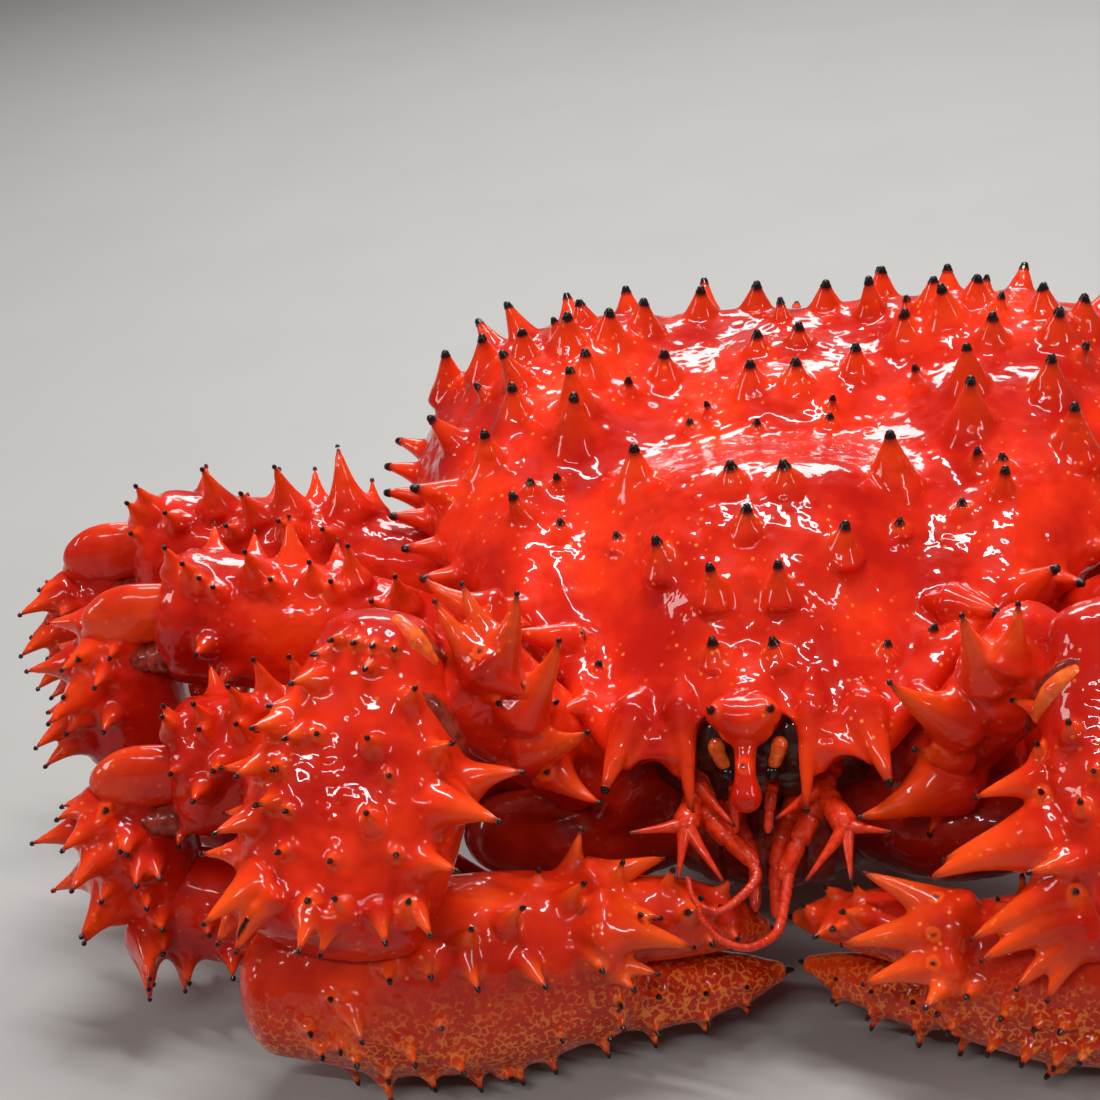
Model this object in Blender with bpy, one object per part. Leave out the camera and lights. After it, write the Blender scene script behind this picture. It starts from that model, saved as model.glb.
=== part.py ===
"""Hanasaki crab (Paralithodes brevipes), boiled, life size, in a folded resting pose.

The crab faces -Y and its right side is -X. Every length below is in millimetres; to_mesh() turns
them into metres. Lengths are measured from the middle of the crab, with the floor at z = 0. The last
step moves all pieces together so that the origin is at the centre of the footprint.
"""
import math
import random

import bmesh
import bpy
from mathutils import Matrix, Vector
from mathutils.bvhtree import BVHTree

MM = 0.001
GAP = 0.32                # clearance that touching pieces keep
FINE_SPINE = 6.9          # spines longer than this have five sides, shorter ones four
SPINE_SINK = 1.6          # how deep a spine's root goes below the surface it grows from
FLOOR_BITE = 1.2          # how far a spine may press past the floor before it is cut flat
SEED = 27

# Shell of the back, seen from above: (y, half width, height of the side edge, height of the midline)
CARAPACE_STATIONS = (
    (-55.5, 16.5, 43.6, 46.5),
    (-52.5, 21.0, 44.6, 51.0),
    (-46.0, 26.5, 47.0, 57.0),
    (-38.0, 32.0, 50.0, 63.0),
    (-28.0, 40.0, 52.5, 67.5),
    (-16.0, 49.0, 54.5, 70.0),
    (-2.0, 56.0, 56.5, 72.5),
    (14.0, 62.0, 58.0, 75.0),
    (28.0, 64.5, 59.0, 77.5),
    (39.0, 63.0, 59.5, 79.0),
    (47.0, 57.0, 59.5, 77.0),
    (53.0, 45.0, 59.5, 71.5),
    (56.5, 31.0, 60.0, 64.0),
)
CARAPACE_POWER = 3.0      # cross-section of the back: 2 is an ellipse, more is boxier
CARAPACE_FLOOR_FRONT = 42.0
CARAPACE_FLOOR_RISE = 0.07
CARAPACE_FOOT = 0.74      # width of the flat underside as a share of the full width

# Swellings of the back: (x, y, radius across, radius along, height); x is used on both sides
REGIONS = (
    (0.0, -28.0, 13.0, 12.0, 3.4),
    (14.0, -14.0, 8.0, 8.0, 1.6),
    (0.0, 20.0, 11.0, 12.0, 2.0),
    (42.0, 24.0, 14.0, 16.0, 4.2),
    (24.0, -38.0, 8.0, 8.0, -2.6),
    (26.0, -18.0, 7.0, 12.0, -2.4),
    (17.0, 6.0, 7.0, 12.0, -2.2),
    (0.0, 3.0, 9.0, 4.0, -1.4),
)

EYE_SOCKET = ((4.9, -55.0, 44.0), (3.1, 8.5, 6.8))      # centre and radii
ROSTRUM_LINE = ((0.0, -45.0, 52.5), (0.0, -52.6, 48.6), (0.0, -57.0, 44.4), (0.0, -59.8, 40.6))
ROSTRUM_RADII = (4.6, 5.2, 2.0, 2.3)

# Paired spines of the back: (x, y, length, base radius, lean outward, lean forward), leans in degrees
BACK_SPINES = (
    (20.0, -11.0, 8.5, 3.6, 8, 0),
    (4.3, -16.0, 4.5, 2.3, 0, 10),
    (14.0, -28.0, 6.5, 2.7, 10, 20),
    (5.2, -36.5, 4.8, 2.3, 0, 25),
    (4.6, -44.5, 3.6, 2.1, 0, 30),
    (10.5, -41.0, 3.0, 1.7, 10, 30),
    (31.0, 7.0, 8.0, 3.8, 10, 0),
    (47.0, 2.0, 7.5, 3.4, 25, 5),
    (4.2, 14.0, 5.0, 2.5, 0, -5),
    (4.0, 25.0, 5.0, 2.5, 0, -10),
    (17.0, 20.0, 5.0, 2.4, 5, -5),
    (15.0, 33.0, 5.5, 2.5, 5, -15),
    (29.0, 28.0, 6.5, 3.0, 10, -10),
    (42.0, 18.0, 7.0, 3.2, 20, -5),
    (42.0, 33.0, 6.0, 2.8, 25, -20),
    (5.0, 39.0, 5.0, 2.4, 0, -25),
    (27.0, 40.0, 5.5, 2.6, 10, -30),
    (14.0, 46.0, 5.0, 2.4, 5, -45),
    (38.0, -15.0, 5.5, 2.6, 25, 10),
    (30.0, -27.0, 4.0, 2.0, 20, 20),
    (53.0, 26.0, 6.5, 2.9, 30, -10),
    (39.0, 45.0, 5.5, 2.6, 15, -35),
    (54.0, 9.0, 5.5, 2.6, 35, 0),
    (19.0, 8.0, 3.6, 1.9, 5, 0),
)
MEDIAN_SPINES = (
    (-30.5, 4.5, 2.3, 20),
    (-8.0, 4.2, 2.2, 5),
    (50.0, 4.0, 2.0, -60),
)
# Spines of the side edge: (y, length, base radius, lean forward); they point outward
EDGE_SPINES = (
    (-38.0, 9.0, 2.9, 10),
    (-30.0, 10.0, 3.1, 8),
    (-20.0, 7.5, 2.7, 8),
    (-10.0, 9.0, 3.0, 5),
    (0.0, 7.0, 2.7, 0),
    (9.0, 8.5, 2.9, -5),
    (18.0, 7.5, 2.7, -10),
    (27.0, 8.0, 2.8, -15),
    (36.0, 7.0, 2.6, -25),
    (44.0, 6.5, 2.5, -35),
)
REAR_EDGE_SPINES = 7
REAR_EDGE_SPAN = 54.0
ORBITAL_SPINE = ((9.6, -49.8, 49.6), (8.4, -59.6, 37.0), 3.5)
CORNER_SPINE = ((17.0, -50.5, 48.0), (20.9, -60.0, 41.4), 3.8)
CHEEK_SPINE = ((24.5, -46.0, 50.0), (25.5, -53.0, 49.5), 1.7)
BROW_SPINE = ((3.4, -55.6, 49.4), (4.1, -58.9, 50.0), 1.5)

THORAX_STATIONS = (
    (-47.0, 13.0, 35.0),
    (-38.0, 22.0, 28.0),
    (-20.0, 32.0, 26.0),
    (5.0, 37.0, 26.0),
    (28.0, 33.0, 27.0),
    (44.0, 22.0, 32.0),
)
ABDOMEN_LINE = ((55.0, 53.0), (54.0, 41.0), (46.0, 28.0), (30.0, 21.5), (8.0, 19.5), (-14.0, 20.0))
ABDOMEN_HALF_WIDTHS = (17.0, 23.0, 27.0, 28.0, 25.0, 12.0)
ABDOMEN_HALF_THICKNESS = (4.5, 5.5, 5.5, 5.0, 4.5, 3.5)

# Walking legs of the right side, from the body to the claw tip
LEGS = {
    "front": ((-30.0, -29.0, 31.5), (-42.0, -36.5, 34.5), (-94.0, -50.0, 42.0),
              (-98.0, -52.0, 20.5), (-62.0, -47.0, 11.0), (-36.0, -43.0, 4.5)),
    "middle": ((-31.0, -14.0, 35.0), (-43.0, -19.0, 41.0), (-101.0, -25.0, 58.0),
               (-106.0, -26.0, 34.0), (-80.0, -24.5, 11.0), (-52.0, -22.0, 4.5)),
    "rear": ((-31.0, 8.0, 36.0), (-45.0, 5.0, 42.0), (-115.0, 3.0, 57.0),
             (-120.0, 2.0, 34.0), (-92.0, 3.0, 11.0), (-63.0, 5.0, 4.5)),
}
# Half sizes along each leg segment: (place along it, half height, half depth)
LEG_FORMS = {
    "ischium": ((0.0, 6.5, 6.0), (0.6, 7.0, 6.5), (1.0, 7.5, 7.0)),
    "merus": ((0.0, 7.0, 6.5), (0.45, 9.8, 8.6), (0.85, 10.8, 9.4), (1.0, 10.6, 9.2)),
    "carpus": ((0.0, 8.0, 7.8), (0.4, 9.4, 9.0), (1.0, 9.2, 8.6)),
    "propodus": ((0.0, 8.6, 8.0), (0.5, 8.8, 7.6), (1.0, 5.8, 5.4)),
    "dactylus": ((0.0, 5.4, 4.8), (0.4, 4.6, 4.0), (0.8, 2.6, 2.2), (1.0, 0.8, 0.8)),
}

# Claw legs: the right one is the larger
CLAWS = {
    "right": {
        "hip": (-17.0, -38.0, 31.0), "merus": (-24.0, -43.0, 36.0), "elbow": (-40.0, -54.0, 60.0),
        "carpus": ((-50.5, -53.0, 67.0), (-59.5, -77.0, 31.0)),
        "palm": ((-71.0, -74.0, 17.0), (-22.0, -65.5, 17.2)),
        "fixed_tip": (1.0, -58.5, 9.0), "moving_tip": (-0.5, -58.5, 17.0), "size": 1.0,
    },
    "left": {
        "hip": (17.0, -38.0, 31.0), "merus": (24.0, -42.0, 36.0), "elbow": (40.0, -51.0, 58.0),
        "carpus": ((50.5, -51.5, 63.0), (59.0, -73.5, 28.0)),
        "palm": ((69.0, -70.0, 14.5), (29.0, -66.0, 14.2)),
        "fixed_tip": (7.5, -60.5, 11.5), "moving_tip": (6.5, -60.0, 19.5), "size": 0.84,
    },
}
CLAW_FORMS = {
    "ischium": ((0.0, 7.0, 7.0), (1.0, 9.0, 9.0)),
    "merus": ((0.0, 9.0, 9.0), (0.5, 10.8, 11.0), (1.0, 11.0, 11.5)),
    "carpus": ((0.0, 8.5, 11.0), (0.25, 10.5, 14.5), (0.6, 12.0, 16.5), (1.0, 10.5, 14.5)),
    "palm": ((0.0, 10.0, 9.0), (0.35, 14.6, 11.6), (0.7, 14.8, 12.0), (1.0, 11.5, 10.0)),
    "fixed": ((0.0, 6.5, 7.0), (0.5, 5.2, 5.4), (1.0, 1.6, 1.6)),
    "moving": ((0.0, 6.4, 7.2), (0.5, 5.2, 5.6), (1.0, 1.5, 1.6)),
}

EYE = {"stalk": ((3.9, -46.0, 43.2), (3.6, -52.6, 41.6)), "stalk_radius": 1.5, "cornea": (3.45, -53.4, 41.2),
       "cornea_radius": 1.55}
ACICLE_HUBS = {"right": (-9.4, -60.3, 35.9), "left": (14.0, -59.2, 34.5)}
ACICLE_TIPS = {
    "right": ((-17.2, -64.0, 36.9), (-9.9, -68.1, 31.3), (-3.3, -67.1, 29.9)),
    "left": ((14.8, -66.3, 29.4), (8.2, -67.6, 30.1), (20.8, -62.0, 35.0)),
}
PEDUNCLE = {
    "right": ((-11.0, -45.0, 41.0), (-8.0, -53.2, 36.6), (-5.2, -57.8, 34.1), (0.5, -62.5, 30.7)),
    "left": ((11.5, -45.0, 40.5), (9.6, -52.5, 36.4), (8.0, -56.5, 33.4), (4.5, -62.6, 28.3)),
}
INNER_SPINE = {
    "right": ((-7.6, -54.5, 38.4), (-1.9, -61.0, 35.8)),
    "left": ((9.4, -54.0, 37.6), (4.2, -62.6, 37.8)),
}
FLAGELLUM = {
    "right": ((-1.6, -60.8, 32.1), (0.9, -64.2, 29.4), (-2.2, -68.0, 27.3), (-4.7, -69.8, 27.1),
              (-7.5, -69.7, 28.8), (-8.5, -67.7, 31.3)),
    "left": ((5.7, -60.4, 30.0), (5.0, -65.0, 26.6), (4.0, -69.3, 23.5), (1.5, -72.4, 23.0),
             (-1.1, -73.9, 23.6), (-4.1, -73.8, 25.3), (-6.0, -73.2, 27.8), (-6.6, -72.3, 29.8)),
}
ANTENNULE = ((2.6, -44.5, 38.6), (2.7, -53.5, 37.0), (2.4, -58.5, 33.6))
MAXILLIPED = {
    "right": ((-5.5, -43.5, 33.0), (-3.2, -51.0, 30.6), (-0.6, -55.5, 26.6), (-0.4, -60.5, 21.6)),
    "left": ((6.5, -43.5, 33.4), (4.4, -51.5, 31.0), (2.8, -57.0, 26.4), (3.0, -63.0, 22.0)),
}

COLOURS = {
    "shell": (0.70, 0.055, 0.018, 0.28, 0.0),
    "leg": (0.66, 0.045, 0.016, 0.30, 0.0),
    "claw": (0.72, 0.07, 0.018, 0.28, 0.0),
    "belly": (0.74, 0.20, 0.06, 0.42, 0.0),
    "feeler": (0.55, 0.05, 0.02, 0.30, 0.0),
    "cornea": (0.012, 0.010, 0.010, 0.08, 0.0),
    "stalk": (0.80, 0.30, 0.04, 0.30, 0.0),
}


def smooth_between(stations, place):
    """Values at a place along a table of (place, value, value...), eased between its rows."""
    if place <= stations[0][0]:
        return stations[0][1:]
    if place >= stations[-1][0]:
        return stations[-1][1:]
    last = len(stations) - 1
    low = max(index for index in range(last) if stations[index][0] <= place)
    before = stations[max(low - 1, 0)]
    start = stations[low]
    end = stations[low + 1]
    after = stations[min(low + 2, last)]
    span = end[0] - start[0]
    part = (place - start[0]) / span
    values = []
    for column in range(1, len(start)):
        slope_in = (end[column] - before[column]) / max(end[0] - before[0], 1e-6) * span
        slope_out = (after[column] - start[column]) / max(after[0] - start[0], 1e-6) * span
        cube = part ** 3
        square = part ** 2
        values.append((2 * cube - 3 * square + 1) * start[column] + (cube - 2 * square + part) * slope_in
                      + (3 * square - 2 * cube) * end[column] + (cube - square) * slope_out)
    return tuple(values)


def along(points, place):
    """A point and tangent on a smooth curve through the points, place running from 0 to 1."""
    table = [(index / (len(points) - 1), *point) for index, point in enumerate(points)]
    here = Vector(smooth_between(table, place))
    step = 0.01
    ahead = Vector(smooth_between(table, min(place + step, 1.0)))
    behind = Vector(smooth_between(table, max(place - step, 0.0)))
    return here, (ahead - behind).normalized()


def rounded(value, power):
    """Superellipse form of a sine or cosine."""
    return math.copysign(abs(value) ** (2.0 / power), value)


def mirrored(point, side):
    """The point of the right side, or its mirror image for the left side."""
    return Vector((point[0] if side == "right" else -point[0], point[1], point[2]))


class Limb:
    """A closed tapering form along a smooth line, with rounded or pointed ends."""

    def __init__(self, points, form, up, face, caps=(3.0, 3.0), size=1.0, sides=10, steps=5, power=2.2):
        self.points = [Vector(point) for point in points]
        self.form = [(row[0], row[1] * size, row[2] * size) for row in form]
        self.up = Vector(up)
        self.face = Vector(face)
        self.caps = caps
        self.sides = sides
        self.steps = steps
        self.power = power

    def frame(self, place):
        """Centre, direction, up vector, facing vector and half sizes at a place along the limb."""
        centre, heading = along(self.points, place)
        up = (self.up - heading * self.up.dot(heading)).normalized()
        face = up.cross(heading)
        if face.dot(self.face) < 0:
            face = -face
        half_up, half_face = smooth_between(self.form, place)
        return centre, heading, up, face, half_up, half_face

    def at(self, place, angle):
        """Surface point and outward direction; angle 0 is up and 90 is towards the facing side."""
        centre, heading, up, face, half_up, half_face = self.frame(place)
        turn = math.radians(angle)
        rise = rounded(math.cos(turn), self.power)
        reach = rounded(math.sin(turn), self.power)
        point = centre + up * (half_up * rise) + face * (half_face * reach)
        outward = up * (math.cos(turn) / half_up) + face * (math.sin(turn) / half_face)
        return point, outward.normalized(), heading

    def rings(self):
        """Rings of points from the start pole to the end pole."""
        rows = []
        for place, cap, sign in ((0.0, self.caps[0], -1.0), (1.0, self.caps[1], 1.0)):
            centre, heading, up, face, half_up, half_face = self.frame(place)
            turns = (62.0, 34.0) if sign < 0 else (34.0, 62.0)
            ends = [self.ring(centre + heading * (sign * cap * math.sin(math.radians(turn))), up, face,
                              half_up * math.cos(math.radians(turn)), half_face * math.cos(math.radians(turn)))
                    for turn in turns]
            if sign < 0:
                rows += [[centre - heading * cap]] + ends
                for step in range(self.steps + 1):
                    middle, _, up_here, face_here, tall, deep = self.frame(step / self.steps)
                    rows.append(self.ring(middle, up_here, face_here, tall, deep))
            else:
                rows += ends + [[centre + heading * cap]]
        return rows

    def ring(self, centre, up, face, half_up, half_face):
        """One cross-section."""
        points = []
        for index in range(self.sides):
            turn = 2.0 * math.pi * (index + 0.5) / self.sides
            points.append(centre + up * (half_up * rounded(math.cos(turn), self.power))
                          + face * (half_face * rounded(math.sin(turn), self.power)))
        return points


def to_mesh(name, rows):
    """A closed mesh in metres from rings of points; a row of one point is a pole."""
    form = bmesh.new()
    made = [[form.verts.new(point * MM) for point in row] for row in rows]
    for here, ahead in zip(made, made[1:]):
        count = max(len(here), len(ahead))
        for index in range(count):
            corners = [here[index % len(here)], here[(index + 1) % len(here)],
                       ahead[(index + 1) % len(ahead)], ahead[index % len(ahead)]]
            unique = list(dict.fromkeys(corners))
            form.faces.new(unique)
    for row in (made[0], made[-1]):
        if len(row) > 1:
            form.faces.new(row)
    bmesh.ops.recalc_face_normals(form, faces=form.faces)
    mesh = bpy.data.meshes.new(name)
    form.to_mesh(mesh)
    form.free()
    return mesh


def add_object(name, mesh, collection):
    """An object of a mesh in a collection."""
    item = bpy.data.objects.new(name, mesh)
    collection.objects.link(item)
    return item


def make_material(name, values):
    """A Principled material of one colour."""
    material = bpy.data.materials.new(name)
    material.use_nodes = True
    shader = material.node_tree.nodes["Principled BSDF"]
    shader.inputs["Base Color"].default_value = (values[0], values[1], values[2], 1.0)
    shader.inputs["Roughness"].default_value = values[3]
    shader.inputs["Metallic"].default_value = values[4]
    return material


def keep_largest(mesh):
    """Drop every loose piece of the mesh except the one with the largest volume; count the dropped."""
    form = bmesh.new()
    form.from_mesh(mesh)
    unseen = set(form.verts)
    groups = []
    while unseen:
        stack = [unseen.pop()]
        group = []
        while stack:
            vert = stack.pop()
            group.append(vert)
            for edge in vert.link_edges:
                other = edge.other_vert(vert)
                if other in unseen:
                    unseen.remove(other)
                    stack.append(other)
        faces = {face for vert in group for face in vert.link_faces}
        volume = sum(face.calc_area() * face.normal.dot(face.calc_center_median()) for face in faces)
        groups.append((volume, len(groups), group))
    groups.sort()
    for _, _, group in groups[:-1]:
        bmesh.ops.delete(form, geom=group, context="VERTS")
    form.to_mesh(mesh)
    form.free()
    return len(groups) - 1


def is_closed(mesh):
    """True where every edge of the mesh has two faces."""
    form = bmesh.new()
    form.from_mesh(mesh)
    closed = len(form.edges) > 0 and all(edge.is_manifold for edge in form.edges)
    form.free()
    return closed


def tree_of(mesh):
    """A search tree of a mesh."""
    form = bmesh.new()
    form.from_mesh(mesh)
    tree = BVHTree.FromBMesh(form)
    form.free()
    return tree


def combine(item, operation, other=None, collection=None, clear_of=None):
    """Apply a Boolean with one object or with a collection, EXACT first and MANIFOLD where it fails."""
    plain = item.data
    low, high = box_of(item)
    best = None
    for solver in ("EXACT", "MANIFOLD"):
        item.data = plain
        modifier = item.modifiers.new("combine", "BOOLEAN")
        modifier.operation = operation
        modifier.solver = solver
        if collection is not None:
            modifier.operand_type = "COLLECTION"
            modifier.collection = collection
        else:
            modifier.object = other
        graph = bpy.context.evaluated_depsgraph_get()
        graph.update()
        result = bpy.data.meshes.new_from_object(item.evaluated_get(graph))
        item.modifiers.clear()
        loose = keep_largest(result)
        faults = loose if operation == "UNION" else 10 * (loose > 1)
        item.data = result
        if not is_closed(result):
            faults += 1000
        elif clear_of is not None and tree_of(result).overlap(tree_of(clear_of.data)):
            faults += 500
        elif operation == "DIFFERENCE":
            new_low, new_high = box_of(item)
            if any(new_low[axis] < low[axis] - 1e-6 or new_high[axis] > high[axis] + 1e-6
                   for axis in range(3)):
                faults += 1000
        if best is None or faults < best[0]:
            best = (faults, result)
        if faults == 0:
            break
    if best[0]:
        print("weak Boolean:", item.name, operation, "faults", best[0])
    item.data = best[1]


def swollen_copy(item, amount, collection):
    """A copy of the object with its surface moved outward, used as a cutter."""
    form = bmesh.new()
    form.from_mesh(item.data)
    form.normal_update()
    moves = []
    for vert in form.verts:
        normals = [face.normal for face in vert.link_faces]
        flattest = min(vert.normal.dot(normal) for normal in normals)
        moves.append(vert.normal * (amount * MM / max(flattest, 0.6)))
    for vert, move in zip(form.verts, moves):
        vert.co += move
    mesh = bpy.data.meshes.new(item.name + "_cutter")
    form.to_mesh(mesh)
    form.free()
    cutter = add_object(item.name + "_cutter", mesh, collection)
    cutter.hide_render = True
    cutter.display_type = "WIRE"
    return cutter


def box_of(item):
    """Lowest and highest corners of an object's mesh."""
    corners = [vert.co for vert in item.data.vertices]
    low = Vector([min(corner[axis] for corner in corners) for axis in range(3)])
    high = Vector([max(corner[axis] for corner in corners) for axis in range(3)])
    return low, high


def boxes_meet(first, second, margin):
    """True where two boxes come closer than the margin."""
    return all(first[0][axis] - margin < second[1][axis] and second[0][axis] - margin < first[1][axis]
               for axis in range(3))


def relief(x, y):
    """Height that the swellings of the back add at a place."""
    total = 0.0
    for centre_x, centre_y, radius_x, radius_y, height in REGIONS:
        for side in ((-1, 1) if centre_x else (1,)):
            across = (x - side * centre_x) / radius_x
            length = (y - centre_y) / radius_y
            total += height * math.exp(-0.5 * (across * across + length * length))
    return total


def carapace_underside(y):
    """Height of the flat underside of the back shell."""
    return CARAPACE_FLOOR_FRONT + CARAPACE_FLOOR_RISE * (y - CARAPACE_STATIONS[0][0])


def back_height(x, y):
    """Height of the back at a place above it."""
    half_width, edge, middle = smooth_between(CARAPACE_STATIONS, y)
    share = min(abs(x) / half_width, 1.0)
    arch = (1.0 - share ** CARAPACE_POWER) ** (1.0 / CARAPACE_POWER)
    fade = min((1.0 - share) * 4.0, 1.0)
    return edge + (middle - edge) * arch + relief(x, y) * fade


def back_normal(x, y):
    """Outward direction of the back."""
    step = 1.0
    slope_x = (back_height(x + step, y) - back_height(x - step, y)) / (2.0 * step)
    slope_y = (back_height(x, y + step) - back_height(x, y - step)) / (2.0 * step)
    return Vector((-slope_x, -slope_y, 1.0)).normalized()


def carapace_rows(across=11, lengths=15):
    """Rings of the back shell from front to rear: an arched top and a flat underside."""
    first = CARAPACE_STATIONS[0][0]
    last = CARAPACE_STATIONS[-1][0]
    rows = []
    for step in range(lengths + 1):
        y = first + (last - first) * (0.5 - 0.5 * math.cos(math.pi * (step / lengths) ** 0.95))
        half_width, edge, _ = smooth_between(CARAPACE_STATIONS, y)
        row = []
        for index in range(across + 1):
            turn = math.pi * index / across
            x = half_width * rounded(math.cos(turn), 2.4)
            row.append(Vector((x, y, back_height(x, y))))
        floor = carapace_underside(y)
        middle = 0.5 * (edge + floor)
        row.append(Vector((-half_width * 0.95, y, middle)))
        row.append(Vector((-half_width * CARAPACE_FOOT, y, floor)))
        row.append(Vector((half_width * CARAPACE_FOOT, y, floor)))
        row.append(Vector((half_width * 0.95, y, middle)))
        rows.append(row)
    return rows


def thorax_rows(sides=10, lengths=6):
    """Rings of the underbody, flat on top against the back shell."""
    first = THORAX_STATIONS[0][0]
    last = THORAX_STATIONS[-1][0]
    rows = []
    for step in range(lengths + 1):
        y = first + (last - first) * step / lengths
        half_width, low = smooth_between(THORAX_STATIONS, y)
        top = carapace_underside(y) - GAP
        row = []
        for index in range(sides + 1):
            turn = math.pi + math.pi * index / sides
            row.append(Vector((half_width * rounded(math.cos(turn), 2.4), y,
                               top + (top - low) * rounded(math.sin(turn), 2.6))))
        rows.append(row)
    return rows


def abdomen_rows(sides=8, steps=7):
    """Rings of the tail, which folds from behind the back shell to under the body."""
    line = [(0.0, y, z) for y, z in ABDOMEN_LINE]
    count = len(ABDOMEN_LINE) - 1
    form = [(index / count, width, thick)
            for index, (width, thick) in enumerate(zip(ABDOMEN_HALF_WIDTHS, ABDOMEN_HALF_THICKNESS))]
    limb = Limb(line, [(row[0], row[2], row[1]) for row in form], (0.0, 1.0, -1.0), (1.0, 0.0, 0.0),
                caps=(2.0, 5.0), sides=sides, steps=steps, power=2.6)
    limb.up = Vector((0.0, 0.6, -0.8))
    return limb


def tube(points, radii, sides=6, steps=10):
    """Rings of a round form through the points, with radii spread along it and domed ends."""
    places = [step / steps for step in range(steps + 1)]
    table = [(index / (len(radii) - 1), radius) for index, radius in enumerate(radii)]
    centres = []
    for place in places:
        centre, heading = along([Vector(point) for point in points], place)
        centres.append((centre, heading, smooth_between(table, place)[0]))
    first, last = centres[0], centres[-1]
    stations = [(first[0] - first[1] * (0.45 * first[2]), first[1], 0.62 * first[2])] + centres
    stations.append((last[0] + last[1] * (0.45 * last[2]), last[1], 0.62 * last[2]))
    across = stations[0][1].orthogonal().normalized()
    rows = [[stations[0][0] - stations[0][1] * (0.25 * first[2])]]
    for centre, heading, radius in stations:
        across = (across - heading * across.dot(heading)).normalized()
        other = heading.cross(across)
        rows.append([centre + (across * math.cos(turn) + other * math.sin(turn)) * radius
                     for turn in (2.0 * math.pi * index / sides for index in range(sides))])
    rows.append([stations[-1][0] + stations[-1][1] * (0.25 * last[2])])
    return rows


def spine_form(root, tip, radius, sink=SPINE_SINK, margin=0.0):
    """A cone in metres from a root sunk in the surface to a pointed tip, larger all round by a margin."""
    root = Vector(root)
    tip = Vector(tip)
    length = (tip - root).length
    heading = (tip - root) / length
    sides = 5 if length > FINE_SPINE else 4
    start = root - heading * (sink + margin)
    end = tip + heading * (2.0 * margin)
    wide = radius * (length + sink + margin) / length + margin / math.cos(math.pi / sides)
    form = bmesh.new()
    bmesh.ops.create_cone(form, cap_ends=True, cap_tris=False, segments=sides, radius1=wide * MM,
                          radius2=0.0, depth=(end - start).length * MM)
    turn = heading.to_track_quat("Z", "X").to_matrix().to_4x4()
    bmesh.ops.transform(form, matrix=Matrix.Translation((start + end) * (0.5 * MM)) @ turn, verts=form.verts)
    return form


def spine_mesh(root, tip, radius, sink=SPINE_SINK):
    """The cone of a spine as a mesh."""
    form = spine_form(root, tip, radius, sink)
    mesh = bpy.data.meshes.new("spine")
    form.to_mesh(mesh)
    form.free()
    return mesh


def spine_tree(root, tip, radius, margin=0.0):
    """The cone of a spine as a search tree."""
    form = spine_form(root, tip, radius, margin=margin)
    tree = BVHTree.FromBMesh(form)
    form.free()
    return tree


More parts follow.
